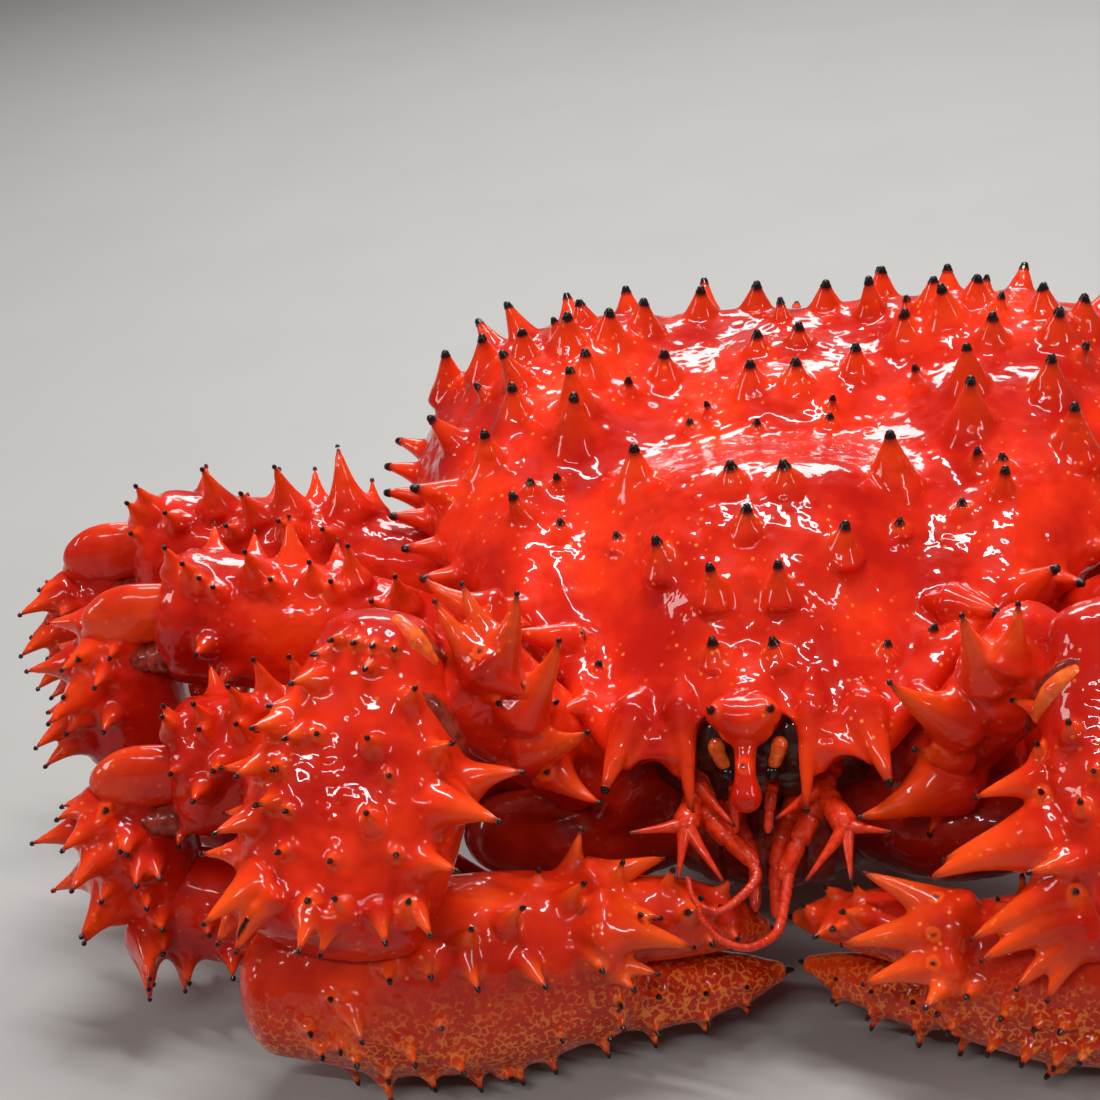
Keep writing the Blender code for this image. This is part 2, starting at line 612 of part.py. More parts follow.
class Builder:
    """Holds the nodes, their spines and the order in which neighbours are cut."""

    def __init__(self):
        self.parts = bpy.data.collections.new("hanasaki_crab")
        self.cutters = bpy.data.collections.new("cutters")
        bpy.context.scene.collection.children.link(self.parts)
        bpy.context.scene.collection.children.link(self.cutters)
        self.materials = {name: make_material(name, values) for name, values in COLOURS.items()}
        self.nodes = {}
        self.spines = {}
        self.random = random.Random(SEED)

    def add(self, name, rows, material):
        """A node from rings of points; nodes added later are cut by those added before."""
        item = add_object(name, to_mesh(name, rows), self.parts)
        item.data.materials.append(self.materials[material])
        self.nodes[name] = item
        self.spines[name] = []
        return item

    def fuse(self, name, meshes):
        """Join closed meshes to a node."""
        group = bpy.data.collections.new(name + "_pieces")
        bpy.context.scene.collection.children.link(group)
        pieces = [add_object(f"{name}_piece_{index}", mesh, group) for index, mesh in enumerate(meshes)]
        material = self.nodes[name].data.materials[0]
        combine(self.nodes[name], "UNION", collection=group)
        for piece in pieces:
            bpy.data.objects.remove(piece)
        bpy.data.collections.remove(group)
        mesh = self.nodes[name].data
        mesh.materials.clear()
        mesh.materials.append(material)

    def cut_neighbours(self):
        """Each node gives way to those before it, with the gap, and to the floor."""
        names = list(self.nodes)
        boxes = {name: box_of(self.nodes[name]) for name in names}
        for later, name in enumerate(names):
            for earlier in names[:later]:
                if not boxes_meet(boxes[name], boxes[earlier], GAP * MM):
                    continue
                cutter = swollen_copy(self.nodes[earlier], GAP, self.cutters)
                combine(self.nodes[name], "DIFFERENCE", other=cutter, clear_of=self.nodes[earlier])
                bpy.data.objects.remove(cutter)

    def cut_floor(self):
        """Flatten whatever reaches the floor."""
        bpy.ops.mesh.primitive_cube_add(size=1.0)
        block = bpy.context.object
        block.name = "floor_cutter"
        block.scale = (1.0, 1.0, 0.1)
        block.location = (0.0, 0.0, -0.05)
        block.hide_render = True
        block.display_type = "WIRE"
        bpy.context.view_layer.update()
        for name, item in self.nodes.items():
            if box_of(item)[0].z < 0.0:
                combine(item, "DIFFERENCE", other=block)
        bpy.data.objects.remove(block)

    def propose(self, name, root, direction, length, radius):
        """Note a spine for a node; it is kept only where it clears every other node."""
        self.spines[name].append((Vector(root), Vector(direction).normalized(), length, radius))

    def row(self, name, limb, angle, places, length, radius=None, lean=12.0):
        """Spines along a limb at one angle; lean tips them towards the limb's end, in degrees."""
        for index, place in enumerate(places):
            size = length[index] if isinstance(length, tuple) else length
            size *= self.random.uniform(0.92, 1.08)
            turn = angle + self.random.uniform(-4.0, 4.0)
            point, outward, heading = limb.at(place, turn)
            tip = math.radians(lean + self.random.uniform(-5.0, 5.0))
            direction = outward * math.cos(tip) + heading * math.sin(tip)
            self.propose(name, point, direction, size, radius or (0.75 + 0.3 * size))

    def grow_spines(self):
        """Fuse every spine that stays clear of other nodes and of the floor."""
        trees = {}
        boxes = {}
        for name, item in self.nodes.items():
            trees[name] = tree_of(item.data)
            boxes[name] = box_of(item)
        placed = []
        for name, wanted in self.spines.items():
            meshes = []
            for root, direction, length, radius in wanted:
                for share in (1.0, 0.8, 0.62, 0.45):
                    tip = root + direction * (length * share)
                    size = radius * (0.4 + 0.6 * share)
                    if self.is_clear(name, root, tip, size, trees, boxes, placed):
                        placed.append((name, root, tip, spine_tree(root, tip, size)))
                        meshes.append(spine_mesh(root, tip, size))
                        break
            if meshes:
                self.fuse(name, meshes)
        print("spines placed", len(placed), "of", sum(len(wanted) for wanted in self.spines.values()))

    def is_clear(self, name, root, tip, radius, trees, boxes, placed):
        """True where a cone keeps the gap to other nodes, their spines and the floor."""
        if tip.z < 0.2 - FLOOR_BITE:
            return False
        probe = spine_tree(root, tip, radius, GAP)
        reach = radius + SPINE_SINK + GAP
        low = Vector([min(root[axis], tip[axis]) - reach for axis in range(3)]) * MM
        high = Vector([max(root[axis], tip[axis]) + reach for axis in range(3)]) * MM
        for other, tree in trees.items():
            if other == name or not boxes_meet((low, high), boxes[other], 0.0):
                continue
            nearest, normal, _, _ = tree.find_nearest(tip * MM)
            if (tip * MM - nearest).dot(normal) < 0.0 or probe.overlap(tree):
                return False
        for other, other_root, other_tip, other_tree in placed:
            near = (other_root - root).length < (other_tip - other_root).length + (tip - root).length + 10.0
            if other != name and near and probe.overlap(other_tree):
                return False
        return True


def build_body(builder):
    """Back shell with its rostrum, underbody and tail."""
    builder.add("carapace", carapace_rows(), "shell")
    for sign in (-1.0, 1.0):
        centre, radii = EYE_SOCKET
        bpy.ops.mesh.primitive_uv_sphere_add(segments=10, ring_count=7, radius=1.0)
        socket = bpy.context.object
        socket.name = "eye_socket_cutter"
        place = Matrix.Translation(Vector((sign * centre[0], centre[1], centre[2])) * MM)
        socket.data.transform(place @ Matrix.Diagonal((*(radius * MM for radius in radii), 1.0)))
        combine(builder.nodes["carapace"], "DIFFERENCE", other=socket)
        bpy.data.objects.remove(socket)
    rostrum = tube(ROSTRUM_LINE, ROSTRUM_RADII, sides=8, steps=6)
    builder.fuse("carapace", [to_mesh("rostrum", rostrum)])
    builder.add("thorax", thorax_rows(), "belly")
    builder.add("abdomen", abdomen_rows().rings(), "belly")


def propose_back_spines(builder):
    """Spines of the back, its edges, the brow and the tail."""
    rng = builder.random
    for sign in (-1.0, 1.0):
        for x, y, length, radius, outward_lean, forward_lean in BACK_SPINES:
            place_x = sign * x * rng.uniform(0.97, 1.03)
            place_y = y + rng.uniform(-0.6, 0.6)
            lean = Vector((sign * math.tan(math.radians(outward_lean)),
                           -math.tan(math.radians(forward_lean)), 0.0))
            root = Vector((place_x, place_y, back_height(place_x, place_y)))
            builder.propose("carapace", root, back_normal(place_x, place_y) + lean,
                            length * rng.uniform(0.94, 1.06), radius)
        for y, length, radius, forward_lean in EDGE_SPINES:
            place_y = y + rng.uniform(-0.8, 0.8)
            half_width, edge, _ = smooth_between(CARAPACE_STATIONS, place_y)
            ahead, _, _ = smooth_between(CARAPACE_STATIONS, place_y - 1.0)
            behind, _, _ = smooth_between(CARAPACE_STATIONS, place_y + 1.0)
            outward = Vector((2.0, ahead - behind, 0.7)).normalized()
            outward.y -= math.tan(math.radians(forward_lean))
            outward.x *= sign
            root = Vector((sign * (half_width - 0.8), place_y, edge + 0.8))
            builder.propose("carapace", root, outward, length, radius)
        for spine in (ORBITAL_SPINE, CORNER_SPINE, CHEEK_SPINE, BROW_SPINE):
            root = Vector((sign * spine[0][0], spine[0][1], spine[0][2]))
            tip = Vector((sign * spine[1][0], spine[1][1], spine[1][2]))
            builder.propose("carapace", root, tip - root, (tip - root).length, spine[2])
    for y, length, radius, forward_lean in MEDIAN_SPINES:
        lean = Vector((0.0, -math.tan(math.radians(forward_lean)), 0.0))
        builder.propose("carapace", Vector((0.0, y, back_height(0.0, y))), back_normal(0.0, y) + lean,
                        length, radius)
    for index in range(REAR_EDGE_SPINES):
        x = REAR_EDGE_SPAN * (index / (REAR_EDGE_SPINES - 1) - 0.5)
        builder.propose("carapace", Vector((x, 56.0, 62.5)), Vector((x * 0.01, 1.0, 0.35)), 5.0, 2.3)
    tail = abdomen_rows()
    for angle, places in ((0.0, (0.1, 0.3)), (50.0, (0.15, 0.36)), (-50.0, (0.15, 0.36))):
        builder.row("abdomen", tail, angle, places, 4.0, lean=8.0)


def leg_limb(points, part, side, up, bow=0.0, size=1.0, steps=4, caps=(3.0, 3.0), sides=8):
    """A leg segment between two points of the right side, or its mirror image."""
    start = mirrored(points[0], side)
    end = mirrored(points[1], side)
    middle = (start + end) * 0.5 + mirrored(up, side).normalized() * bow
    return Limb((start, middle, end), LEG_FORMS[part], mirrored(up, side), (0.0, -1.0, 0.0), caps=caps,
                size=size, sides=sides, steps=steps)


def build_walking_leg(builder, place, side):
    """One walking leg: hip piece, merus out to the knee, carpus, propodus and claw folded under it."""
    hip, start, knee, ankle, wrist, tip = LEGS[place]
    limbs = {
        "ischium": leg_limb((hip, start), "ischium", side, (0.0, 0.0, 1.0), steps=1),
        "carpus": leg_limb((knee, ankle), "carpus", side, (-1.0, 0.0, 0.25), bow=1.5, steps=3,
                           caps=(7.0, 3.0)),
        "merus": leg_limb((start, knee), "merus", side, (0.0, 0.0, 1.0), bow=1.5, caps=(2.0, 2.0)),
        "propodus": leg_limb((ankle, wrist), "propodus", side, (-0.5, 0.0, -1.0), bow=1.0, steps=3,
                             caps=(4.0, 2.5)),
        "dactylus": leg_limb((wrist, tip), "dactylus", side, (-0.2, 0.0, -1.0), bow=-1.5, steps=3,
                             caps=(2.0, 1.2), sides=6),
    }
    for part, limb in limbs.items():
        builder.add(f"{place}_leg_{part}_{side}", limb.rings(), "leg")
    return limbs


def propose_leg_spines(builder, place, side, limbs):
    """Rows of spines on a walking leg; angle 90 is the front face."""
    name = f"{place}_leg_{{}}_{side}"
    merus = name.format("merus")
    for angle, places, length in ((0.0, (0.16, 0.36, 0.56, 0.76, 0.95), (7.5, 6.5, 7.5, 7.0, 5.5)),
                                  (42.0, (0.3, 0.52, 0.74, 0.93), 4.6), (-42.0, (0.42, 0.66, 0.88), 4.6),
                                  (140.0, (0.6,), 4.2)):
        builder.row(merus, limbs["merus"], angle, places, length)
    for angle, places, length in ((0.0, (0.3, 0.65, 0.98), 7.5), (42.0, (0.42, 0.82), 6.0),
                                  (-42.0, (0.42, 0.82), 6.0), (88.0, (0.6,), 4.0)):
        builder.row(name.format("carpus"), limbs["carpus"], angle, places, length)
    for angle, places, length in ((0.0, (0.1, 0.32, 0.54, 0.78), 6.0), (45.0, (0.2, 0.44, 0.68), 5.5),
                                  (-45.0, (0.2, 0.5), 5.5), (95.0, (0.3, 0.6), 3.8)):
        builder.row(name.format("propodus"), limbs["propodus"], angle, places, length)
    builder.row(name.format("dactylus"), limbs["dactylus"], 40.0, (0.15, 0.4), 3.0)
    builder.row(name.format("dactylus"), limbs["dactylus"], -40.0, (0.15, 0.4), 3.0)


def build_claw_leg(builder, side):
    """One claw leg, from the hip to the two fingers."""
    claw = CLAWS[side]
    size = claw["size"]
    sign = -1.0 if side == "right" else 1.0
    outward = (sign, 0.0, 0.0)
    to_viewer = (0.0, -0.8, 0.6)
    up = (0.0, 0.0, 1.0)
    ahead = (0.0, -1.0, 0.0)
    forms = CLAW_FORMS
    palm_start, palm_end = (Vector(point) for point in claw["palm"])
    fixed_start = palm_end + Vector((sign * 5.0, 0.0, -5.6)) * size
    moving_start = palm_end + Vector((sign * 0.5, 0.0, 5.6)) * size
    knuckle = Vector(claw["elbow"])
    limbs = {
        "carpus": Limb(claw["carpus"], forms["carpus"], to_viewer, outward, caps=(6.0, 5.5), size=size,
                       sides=12, steps=5),
        "ischium": Limb((claw["hip"], claw["merus"]), forms["ischium"], up, ahead, size=size, sides=8,
                        steps=1),
        "merus": Limb((claw["merus"], knuckle), forms["merus"], to_viewer, outward, caps=(3.0, 6.0),
                      size=size, sides=10, steps=4),
        "palm": Limb((palm_start, (palm_start + palm_end) * 0.5 + Vector((0.0, -1.2, 0.0)), palm_end),
                     forms["palm"], up, ahead, caps=(6.0, 5.0), size=size, sides=12, steps=6),
        "finger": Limb((moving_start, (moving_start + Vector(claw["moving_tip"])) * 0.5
                        + Vector((0.0, -0.6, 1.6)), claw["moving_tip"]), forms["moving"], up, ahead,
                       caps=(4.5, 1.4), size=size, sides=8, steps=4),
    }
    fixed = Limb((fixed_start, (fixed_start + Vector(claw["fixed_tip"])) * 0.5 + Vector((0.0, -0.6, -0.8)),
                  claw["fixed_tip"]), forms["fixed"], up, ahead, caps=(4.0, 1.4), size=size, sides=8, steps=4)
    for part, limb in limbs.items():
        builder.add(f"claw_{part}_{side}", limb.rings(), "claw")
        if part == "palm":
            builder.fuse(f"claw_palm_{side}", [to_mesh("fixed", fixed.rings())])
    limbs["fixed"] = fixed
    return limbs


def propose_claw_spines(builder, side, limbs):
    """Rows of spines on a claw leg; angle 90 is outward on the arm and the front face on the palm."""
    name = f"claw_{{}}_{side}"
    for angle, places, length in (
            (90.0, (0.16, 0.30, 0.44, 0.60, 0.82), (5.0, 5.5, 6.0, 7.0, 9.0)),
            (52.0, (0.34, 0.54, 0.72), 5.0),
            (4.0, (0.14, 0.36, 0.58, 0.80), (4.0, 4.8, 4.4, 5.0)),
            (-40.0, (0.22, 0.42, 0.62, 0.84), 4.8),
            (-88.0, (0.50, 0.66, 0.82), (10.5, 10.5, 7.5)),
            (28.0, (0.97,), 8.0), (64.0, (0.99,), 8.0), (-8.0, (0.99,), 5.0), (-38.0, (0.99,), 5.0),
            (-66.0, (0.99,), 6.0)):
        builder.row(name.format("carpus"), limbs["carpus"], angle, places, length)
    for angle, places, length in ((-78.0, (0.62, 0.86), (13.0, 12.0)), (-35.0, (0.45, 0.95), (8.0, 9.0)),
                                  (-110.0, (0.35, 0.95), (10.0, 7.0)), (20.0, (0.98,), 7.0),
                                  (-150.0, (0.9,), 6.0)):
        builder.row(name.format("merus"), limbs["merus"], angle, places, length)
    for angle, places, length in (
            (8.0, (0.55, 0.78, 0.97), (7.0, 7.5, 6.0)),
            (40.0, (0.42, 0.60, 0.78, 0.95), 5.5),
            (66.0, (0.30, 0.46, 0.62, 0.78, 0.92), 3.8),
            (150.0, (0.10, 0.26, 0.44, 0.62, 0.80), 3.4),
            (172.0, (0.18, 0.36, 0.54, 0.72, 0.90), 3.4),
            (-35.0, (0.45, 0.65, 0.85), 4.5)):
        builder.row(name.format("palm"), limbs["palm"], angle, places, length)
    builder.row(name.format("palm"), limbs["fixed"], 150.0, (0.35, 0.6), 2.4)
    for angle, places, length in ((10.0, (0.1, 0.4, 0.7), (5.0, 4.5, 3.2)), (55.0, (0.2, 0.5), 4.0)):
        builder.row(name.format("finger"), limbs["finger"], angle, places, length)


def build_head(builder):
    """Eyes, feelers and mouth limbs."""
    for side in ("right", "left"):
        sign = -1.0 if side == "right" else 1.0

        def here(point):
            return Vector((sign * point[0], point[1], point[2]))

        cornea = here(EYE["cornea"])
        stalk_start, stalk_end = (here(point) for point in EYE["stalk"])
        heading = (stalk_end - stalk_start).normalized()
        radius = EYE["cornea_radius"]
        builder.add(f"cornea_{side}", tube((cornea - heading * 0.5, cornea + heading * 0.5), (radius, radius),
                                           sides=8, steps=1), "cornea")
        builder.add(f"eye_stalk_{side}", tube((stalk_start, stalk_end), (EYE["stalk_radius"] * 1.15,
                                              EYE["stalk_radius"]), sides=8, steps=2), "stalk")
        builder.add(f"antenna_{side}", tube(PEDUNCLE[side], (2.6, 2.2, 1.7, 1.2), sides=6, steps=5),
                    "feeler")
        hub = Vector(ACICLE_HUBS[side])
        pieces = [to_mesh("flagellum", tube(FLAGELLUM[side], (0.9, 0.7, 0.55, 0.45), sides=5,
                                            steps=11))]
        scale_root = Vector(PEDUNCLE[side][1]) + Vector((0.0, 0.9, 0.7))
        pieces.append(to_mesh("scale", tube((scale_root, hub), (1.8, 2.0), sides=6, steps=1)))
        inner_root, inner_tip = INNER_SPINE[side]
        pieces.append(spine_mesh(inner_root, inner_tip, 1.5, sink=2.5))
        for tip in ACICLE_TIPS[side]:
            pieces.append(spine_mesh(hub, tip, 1.45, sink=0.8))
        builder.fuse(f"antenna_{side}", pieces)
        builder.add(f"antennule_{side}", tube([here(point) for point in ANTENNULE], (1.2, 1.0, 0.6), sides=5,
                                              steps=4), "feeler")
        builder.add(f"maxilliped_{side}", tube(MAXILLIPED[side], (2.2, 1.5, 1.15, 0.8), sides=6,
                                               steps=6), "feeler")


def centre_on_footprint(nodes):
    """Move every piece so that the origin lies under the middle of the whole box."""
    boxes = [box_of(item) for item in nodes.values()]
    low = Vector([min(box[0][axis] for box in boxes) for axis in range(3)])
    high = Vector([max(box[1][axis] for box in boxes) for axis in range(3)])
    shift = Vector((-(low.x + high.x) / 2.0, -(low.y + high.y) / 2.0, -low.z))
    for item in nodes.values():
        item.data.transform(Matrix.Translation(shift))
    print("shift", shift, "size", high - low)


def main():
    for item in list(bpy.data.objects):
        bpy.data.objects.remove(item)
    builder = Builder()
    build_body(builder)
    claws = {side: build_claw_leg(builder, side) for side in ("right", "left")}
    legs = {(place, side): build_walking_leg(builder, place, side)
            for place in LEGS for side in ("right", "left")}
    build_head(builder)
    builder.cut_neighbours()
    propose_back_spines(builder)
    for side, limbs in claws.items():
        propose_claw_spines(builder, side, limbs)
    for (place, side), limbs in legs.items():
        propose_leg_spines(builder, place, side, limbs)
    builder.grow_spines()
    builder.cut_floor()
    for item in builder.nodes.values():
        item.data.shade_smooth()
        item.data.set_sharp_from_angle(angle=math.radians(35.0))
    centre_on_footprint(builder.nodes)


main()
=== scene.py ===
"""Looks of a boiled hanasaki crab, wet and life size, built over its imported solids.

The crab faces -Y and its right side is -X. Every length below is in millimetres, measured from the
middle of the crab with the floor at z = 0; SHIFT moves them into the frame, which is in metres.
"""
import math
import random

import bmesh
import bpy
import numpy as np
from mathutils import Matrix, Vector, noise
from mathutils.bvhtree import BVHTree


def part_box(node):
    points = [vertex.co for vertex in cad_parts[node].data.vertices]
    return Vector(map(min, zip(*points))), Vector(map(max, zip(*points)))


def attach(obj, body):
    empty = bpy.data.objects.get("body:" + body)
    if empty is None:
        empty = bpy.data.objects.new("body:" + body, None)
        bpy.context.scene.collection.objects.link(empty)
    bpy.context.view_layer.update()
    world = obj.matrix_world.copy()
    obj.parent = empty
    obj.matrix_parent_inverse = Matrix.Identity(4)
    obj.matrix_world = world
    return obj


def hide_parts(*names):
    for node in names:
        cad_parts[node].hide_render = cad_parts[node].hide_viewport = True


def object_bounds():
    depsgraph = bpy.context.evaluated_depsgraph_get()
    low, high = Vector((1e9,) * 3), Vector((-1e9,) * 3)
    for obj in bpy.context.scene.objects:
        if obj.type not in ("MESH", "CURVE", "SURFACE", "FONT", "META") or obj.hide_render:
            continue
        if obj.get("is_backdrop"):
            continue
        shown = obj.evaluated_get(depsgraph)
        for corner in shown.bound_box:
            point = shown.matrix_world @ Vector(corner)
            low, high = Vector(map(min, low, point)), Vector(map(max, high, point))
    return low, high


MM = 0.001
SEED = 27
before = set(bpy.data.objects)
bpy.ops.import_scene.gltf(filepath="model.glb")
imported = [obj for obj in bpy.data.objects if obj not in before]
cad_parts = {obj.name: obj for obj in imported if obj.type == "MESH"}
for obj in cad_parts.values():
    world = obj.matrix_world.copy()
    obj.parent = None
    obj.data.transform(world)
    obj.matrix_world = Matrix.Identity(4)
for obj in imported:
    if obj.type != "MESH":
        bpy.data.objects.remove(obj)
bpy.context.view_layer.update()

# The picture's square frame and its camera, placed in the same millimetres as the crab
FRAME_PX = 1100.0
FOCAL_PX = 2500.0
SENSOR = 36.0
CAMERA_PLACE = Vector((52.5, -373.2, 220.9))
CAMERA_YAW = math.radians(-13.68)
CAMERA_DOWN = math.radians(23.49)
CAMERA_ROLL = math.radians(-8.15)

# Voxel sizes of the shell skins, and how often each is relaxed
VOXEL_FACE = 0.36
VOXEL_ARM = 0.40
VOXEL_LEG = 0.48
VOXEL_HIDDEN = 0.70
RELAX_ROUNDS = 6
RELAX_SHARE = 0.7
# Height of the faint waves of each skin
SKIN_WAVES = 0.22
# Triangles kept of each skin, as a share, and the most that one piece may have
KEPT_SHARE = 0.62
MOST_TRIANGLES = 190000

# Radius of a spine's blunt point, and height of its dark bead
SPINE_POINT = 0.24
BACK_SPINE_POINT = 0.50
BACK_STOUTNESS = 1.18
BEAD_HEIGHTS = {"carapace": 0.78, "claw": 0.62, "leg": 0.5}
# The most of a spine's length that its bead covers, how far it laps over the skin, and how much wider it is
BEAD_SHARE = 0.24
BEAD_LAP = 1.2
BEAD_EXTRA = 0.06
BACK_BEAD_EXTRA = 0.10
# Where the skin turns dark before and after a bead's edge, as shares of the spine's length
DARK_BEFORE = 0.16
DARK_AFTER = 0.05
# How much a spine flares at its foot, and how much less one of the back does
SPINE_FLARE = 0.42
BACK_FLARE = 0.22
# How far the fitted spines bow upwards, as a share of their length; those of the arm's merus bow down
SPINE_BEND = 0.045
MERUS_BEND = -0.06
ROW_BEND = 0.04
SLIGHT_BEND = 0.03
# A mirrored spine isn't grown this near to one that is already there
TWIN_GAP = 5.5
# Where a limb is tried for the root of a fitted spine, and the spine's lean when only its tip is known
FIT_PLACES = np.linspace(0.02, 1.0, 50)
FIT_ANGLES = range(-180, 180, 5)
FIT_LEAN = math.radians(14.0)
# Pixels that facing away from the camera counts as, for a known root and for a known tip
AWAY_ROOT_PX = 400.0
AWAY_TIP_PX = 40.0
# Pixels by which a root of the back is moved down until it meets the shell
ROOT_STEPS_PX = range(0, 28, 4)
# Surfaces below this cosine face the camera, and the other spines, with their lean, keep off them
SEEN_BELOW = -0.12
FILL_LEAN = math.radians(12.0)

# Shell of the back, seen from above: (y, half width, height of the side edge, height of the midline)
CARAPACE_STATIONS = (
    (-55.5, 16.5, 43.6, 46.5),
    (-52.5, 21.0, 44.6, 50.0),
    (-46.0, 26.5, 46.5, 54.5),
    (-38.0, 32.0, 48.5, 60.0),
    (-28.0, 40.0, 52.0, 66.0),
    (-16.0, 49.0, 54.5, 70.0),
    (-2.0, 56.0, 56.5, 72.5),
    (14.0, 62.0, 58.0, 75.0),
    (28.0, 64.5, 59.0, 77.5),
    (39.0, 63.0, 59.5, 79.0),
    (47.0, 57.0, 59.5, 77.0),
    (53.0, 45.0, 59.5, 71.5),
    (56.5, 31.0, 60.0, 64.0),
)
CARAPACE_POWER = 3.0
CARAPACE_FLOOR_FRONT = 42.0
CARAPACE_FLOOR_RISE = 0.07
CARAPACE_FOOT = 0.74

# Swellings and hollows of the back: (x, y, radius across, radius along, height, steepness)
REGIONS = (
    (0.0, -24.5, 14.5, 13.0, 4.0, 2.4),
    (14.0, -14.0, 8.0, 8.0, 1.8, 1.0),
    (0.0, 20.0, 11.0, 12.0, 2.4, 1.6),
    (42.0, 24.0, 14.0, 16.0, 4.2, 1.2),
    (24.5, -37.0, 8.5, 10.0, -5.4, 1.4),
    (26.5, -18.0, 7.5, 12.0, -4.2, 1.2),
    (17.0, 6.0, 6.0, 12.0, -2.6, 1.0),
    (0.0, 3.0, 10.0, 3.2, -1.9, 1.0),
    (0.0, -35.0, 1.8, 9.0, -0.9, 1.0),
    (27.0, 30.0, 9.0, 9.0, 1.4, 1.0),
)
# Hollows cut under the brow and the front margin: (centre, radii)
FACE_HOLLOWS = (
    ((0.0, -57.5, 42.6), (8.0, 11.0, 6.2)),
    ((5.3, -57.0, 44.4), (3.5, 9.5, 6.4)),
    ((-5.3, -57.0, 44.4), (3.5, 9.5, 6.4)),
    ((14.6, -59.0, 41.2), (3.9, 7.5, 4.6)),
    ((-14.6, -59.0, 41.2), (3.9, 7.5, 4.6)),
)
BROW_BULB = ((-2.3, -53.6, 50.4), (0.0, -54.4, 49.9), (2.3, -53.6, 50.4))
BROW_BULB_RADII = (2.9, 3.3, 2.9)
BROW_ROOT = ((0.0, -43.5, 48.8), (0.0, -52.4, 49.0))
BROW_ROOT_RADII = (7.6, 4.6)
ROSTRUM_LINE = ((0.0, -52.5, 49.0), (0.0, -56.2, 46.0), (0.0, -58.6, 43.0), (0.0, -59.8, 40.1))
ROSTRUM_RADII = (2.6, 1.75, 1.75, 2.4)

# Spines of the back as pixels of the picture's square frame: (tip x, tip y, root x, root y, base radius);
# one without a partner there is mirrored
BACK_TIPS_PX = (
    (634, 446, 638, 489, 4.4), (890, 432, 893, 485, 4.7), (730, 463, 733, 486, 3.3),
    (783, 462, 787, 486, 3.3), (757, 420, 757, 434, 1.8), (747, 506, 747, 532, 2.8),
    (655, 538, 664, 570, 3.3), (846, 523, 842, 555, 3.3), (709, 565, 716, 602, 2.8),
    (778, 562, 781, 600, 2.8), (712, 639, 715, 662, 2.6), (772, 639, 777, 660, 2.6),
    (971, 379, 971, 434, 4.7), (575, 398, 575, 447, 4.4), (484, 432, 492, 472, 4.1),
    (1075, 404, 1075, 456, 4.6), (512, 386, 518, 422, 3.9), (750, 362, 752, 388, 3.3),
    (796, 360, 797, 386, 3.3), (757, 332, 758, 354, 3.0), (799, 324, 799, 346, 3.0),
    (1052, 356, 1050, 397, 4.3), (1060, 311, 1056, 346, 4.1), (993, 314, 992, 346, 3.9),
    (905, 314, 905, 343, 3.9), (664, 352, 666, 380, 3.6), (856, 345, 856, 376, 3.6),
    (585, 352, 590, 384, 3.7), (585, 634, 586, 652, 2.0), (554, 714, 584, 706, 2.0),
    (600, 662, 598, 674, 1.5), (933, 625, 931, 641, 1.9), (888, 641, 888, 656, 1.9),
    (466, 605, 522, 616, 3.3), (512, 633, 566, 644, 3.1), (412, 488, 452, 500, 3.6),
    (1000, 614, 955, 605, 3.2), (1058, 568, 1018, 592, 3.2), (422, 375, 428, 412, 4.0),
    (445, 352, 452, 390, 4.0), (482, 337, 488, 374, 4.0), (522, 332, 527, 368, 4.0),
    (568, 319, 571, 356, 4.0), (610, 314, 612, 350, 3.9), (644, 301, 645, 336, 3.9),
    (701, 288, 702, 322, 3.9), (757, 283, 757, 315, 3.7), (826, 282, 826, 314, 3.8),
    (882, 269, 882, 306, 4.1), (934, 283, 934, 315, 3.8), (978, 279, 978, 312, 3.8),
    (1043, 288, 1042, 322, 4.0), (1085, 298, 1084, 332, 4.0), (900, 520, 900, 533, 1.9),
    (560, 520, 562, 533, 1.9), (962, 500, 962, 514, 2.0), (530, 480, 532, 494, 2.0),
    (690, 420, 690, 432, 1.8), (830, 415, 830, 427, 1.8),
)
# Cosine of the angle between these spines and the picture's plane, and the room that each needs
BACK_SLANT = 0.88
BACK_ROOM = 6.0
LONGEST_BACK_SPINE = 10.5
# Other paired spines of the back: (x, y, length, base radius, lean outward, lean forward), in degrees
BACK_SPINES = (
    (31.5, 7.5, 9.0, 5.2, 8, 0),
    (47.5, 2.5, 8.5, 4.6, 20, 5),
    (4.2, 14.0, 6.0, 3.3, 0, 0),
    (4.0, 25.0, 6.2, 3.4, 0, 0),
    (17.0, 20.0, 6.5, 3.5, 5, 0),
    (15.0, 33.0, 7.5, 3.8, 5, 0),
    (29.0, 24.0, 8.0, 4.3, 10, 0),
    (43.0, 15.0, 8.0, 4.3, 20, 0),
    (44.0, 31.0, 8.0, 4.2, 20, -5),
    (5.0, 40.0, 7.5, 3.8, 0, -5),
    (27.5, 39.0, 5.2, 3.7, 8, -10),
    (15.5, 47.0, 7.0, 3.6, 5, -30),
    (38.0, -15.0, 5.5, 3.3, 20, 10),
    (54.0, 25.0, 8.0, 4.2, 25, -5),
    (39.5, 44.0, 5.6, 3.7, 12, -20),
    (54.5, 9.0, 7.5, 4.0, 30, 0),
    (53.0, 39.0, 7.0, 3.7, 25, -25),
    (33.0, -8.0, 3.0, 2.0, 10, 5),
    (24.0, 13.5, 3.4, 2.2, 5, 0),
    (10.0, 8.0, 2.8, 1.8, 0, 0),
    (37.0, 26.0, 3.6, 2.3, 15, 0),
    (22.0, 30.0, 3.4, 2.2, 5, 0),
    (50.0, 17.0, 3.6, 2.3, 25, 0),
    (35.0, 35.0, 3.6, 2.3, 15, -10),
)
MEDIAN_SPINES = (
    (33.0, 4.5, 2.6, 0),
    (51.0, 5.0, 2.8, -50),
)
# How far the back's spines turn from the surface's own direction towards upright
UPRIGHT = 0.8
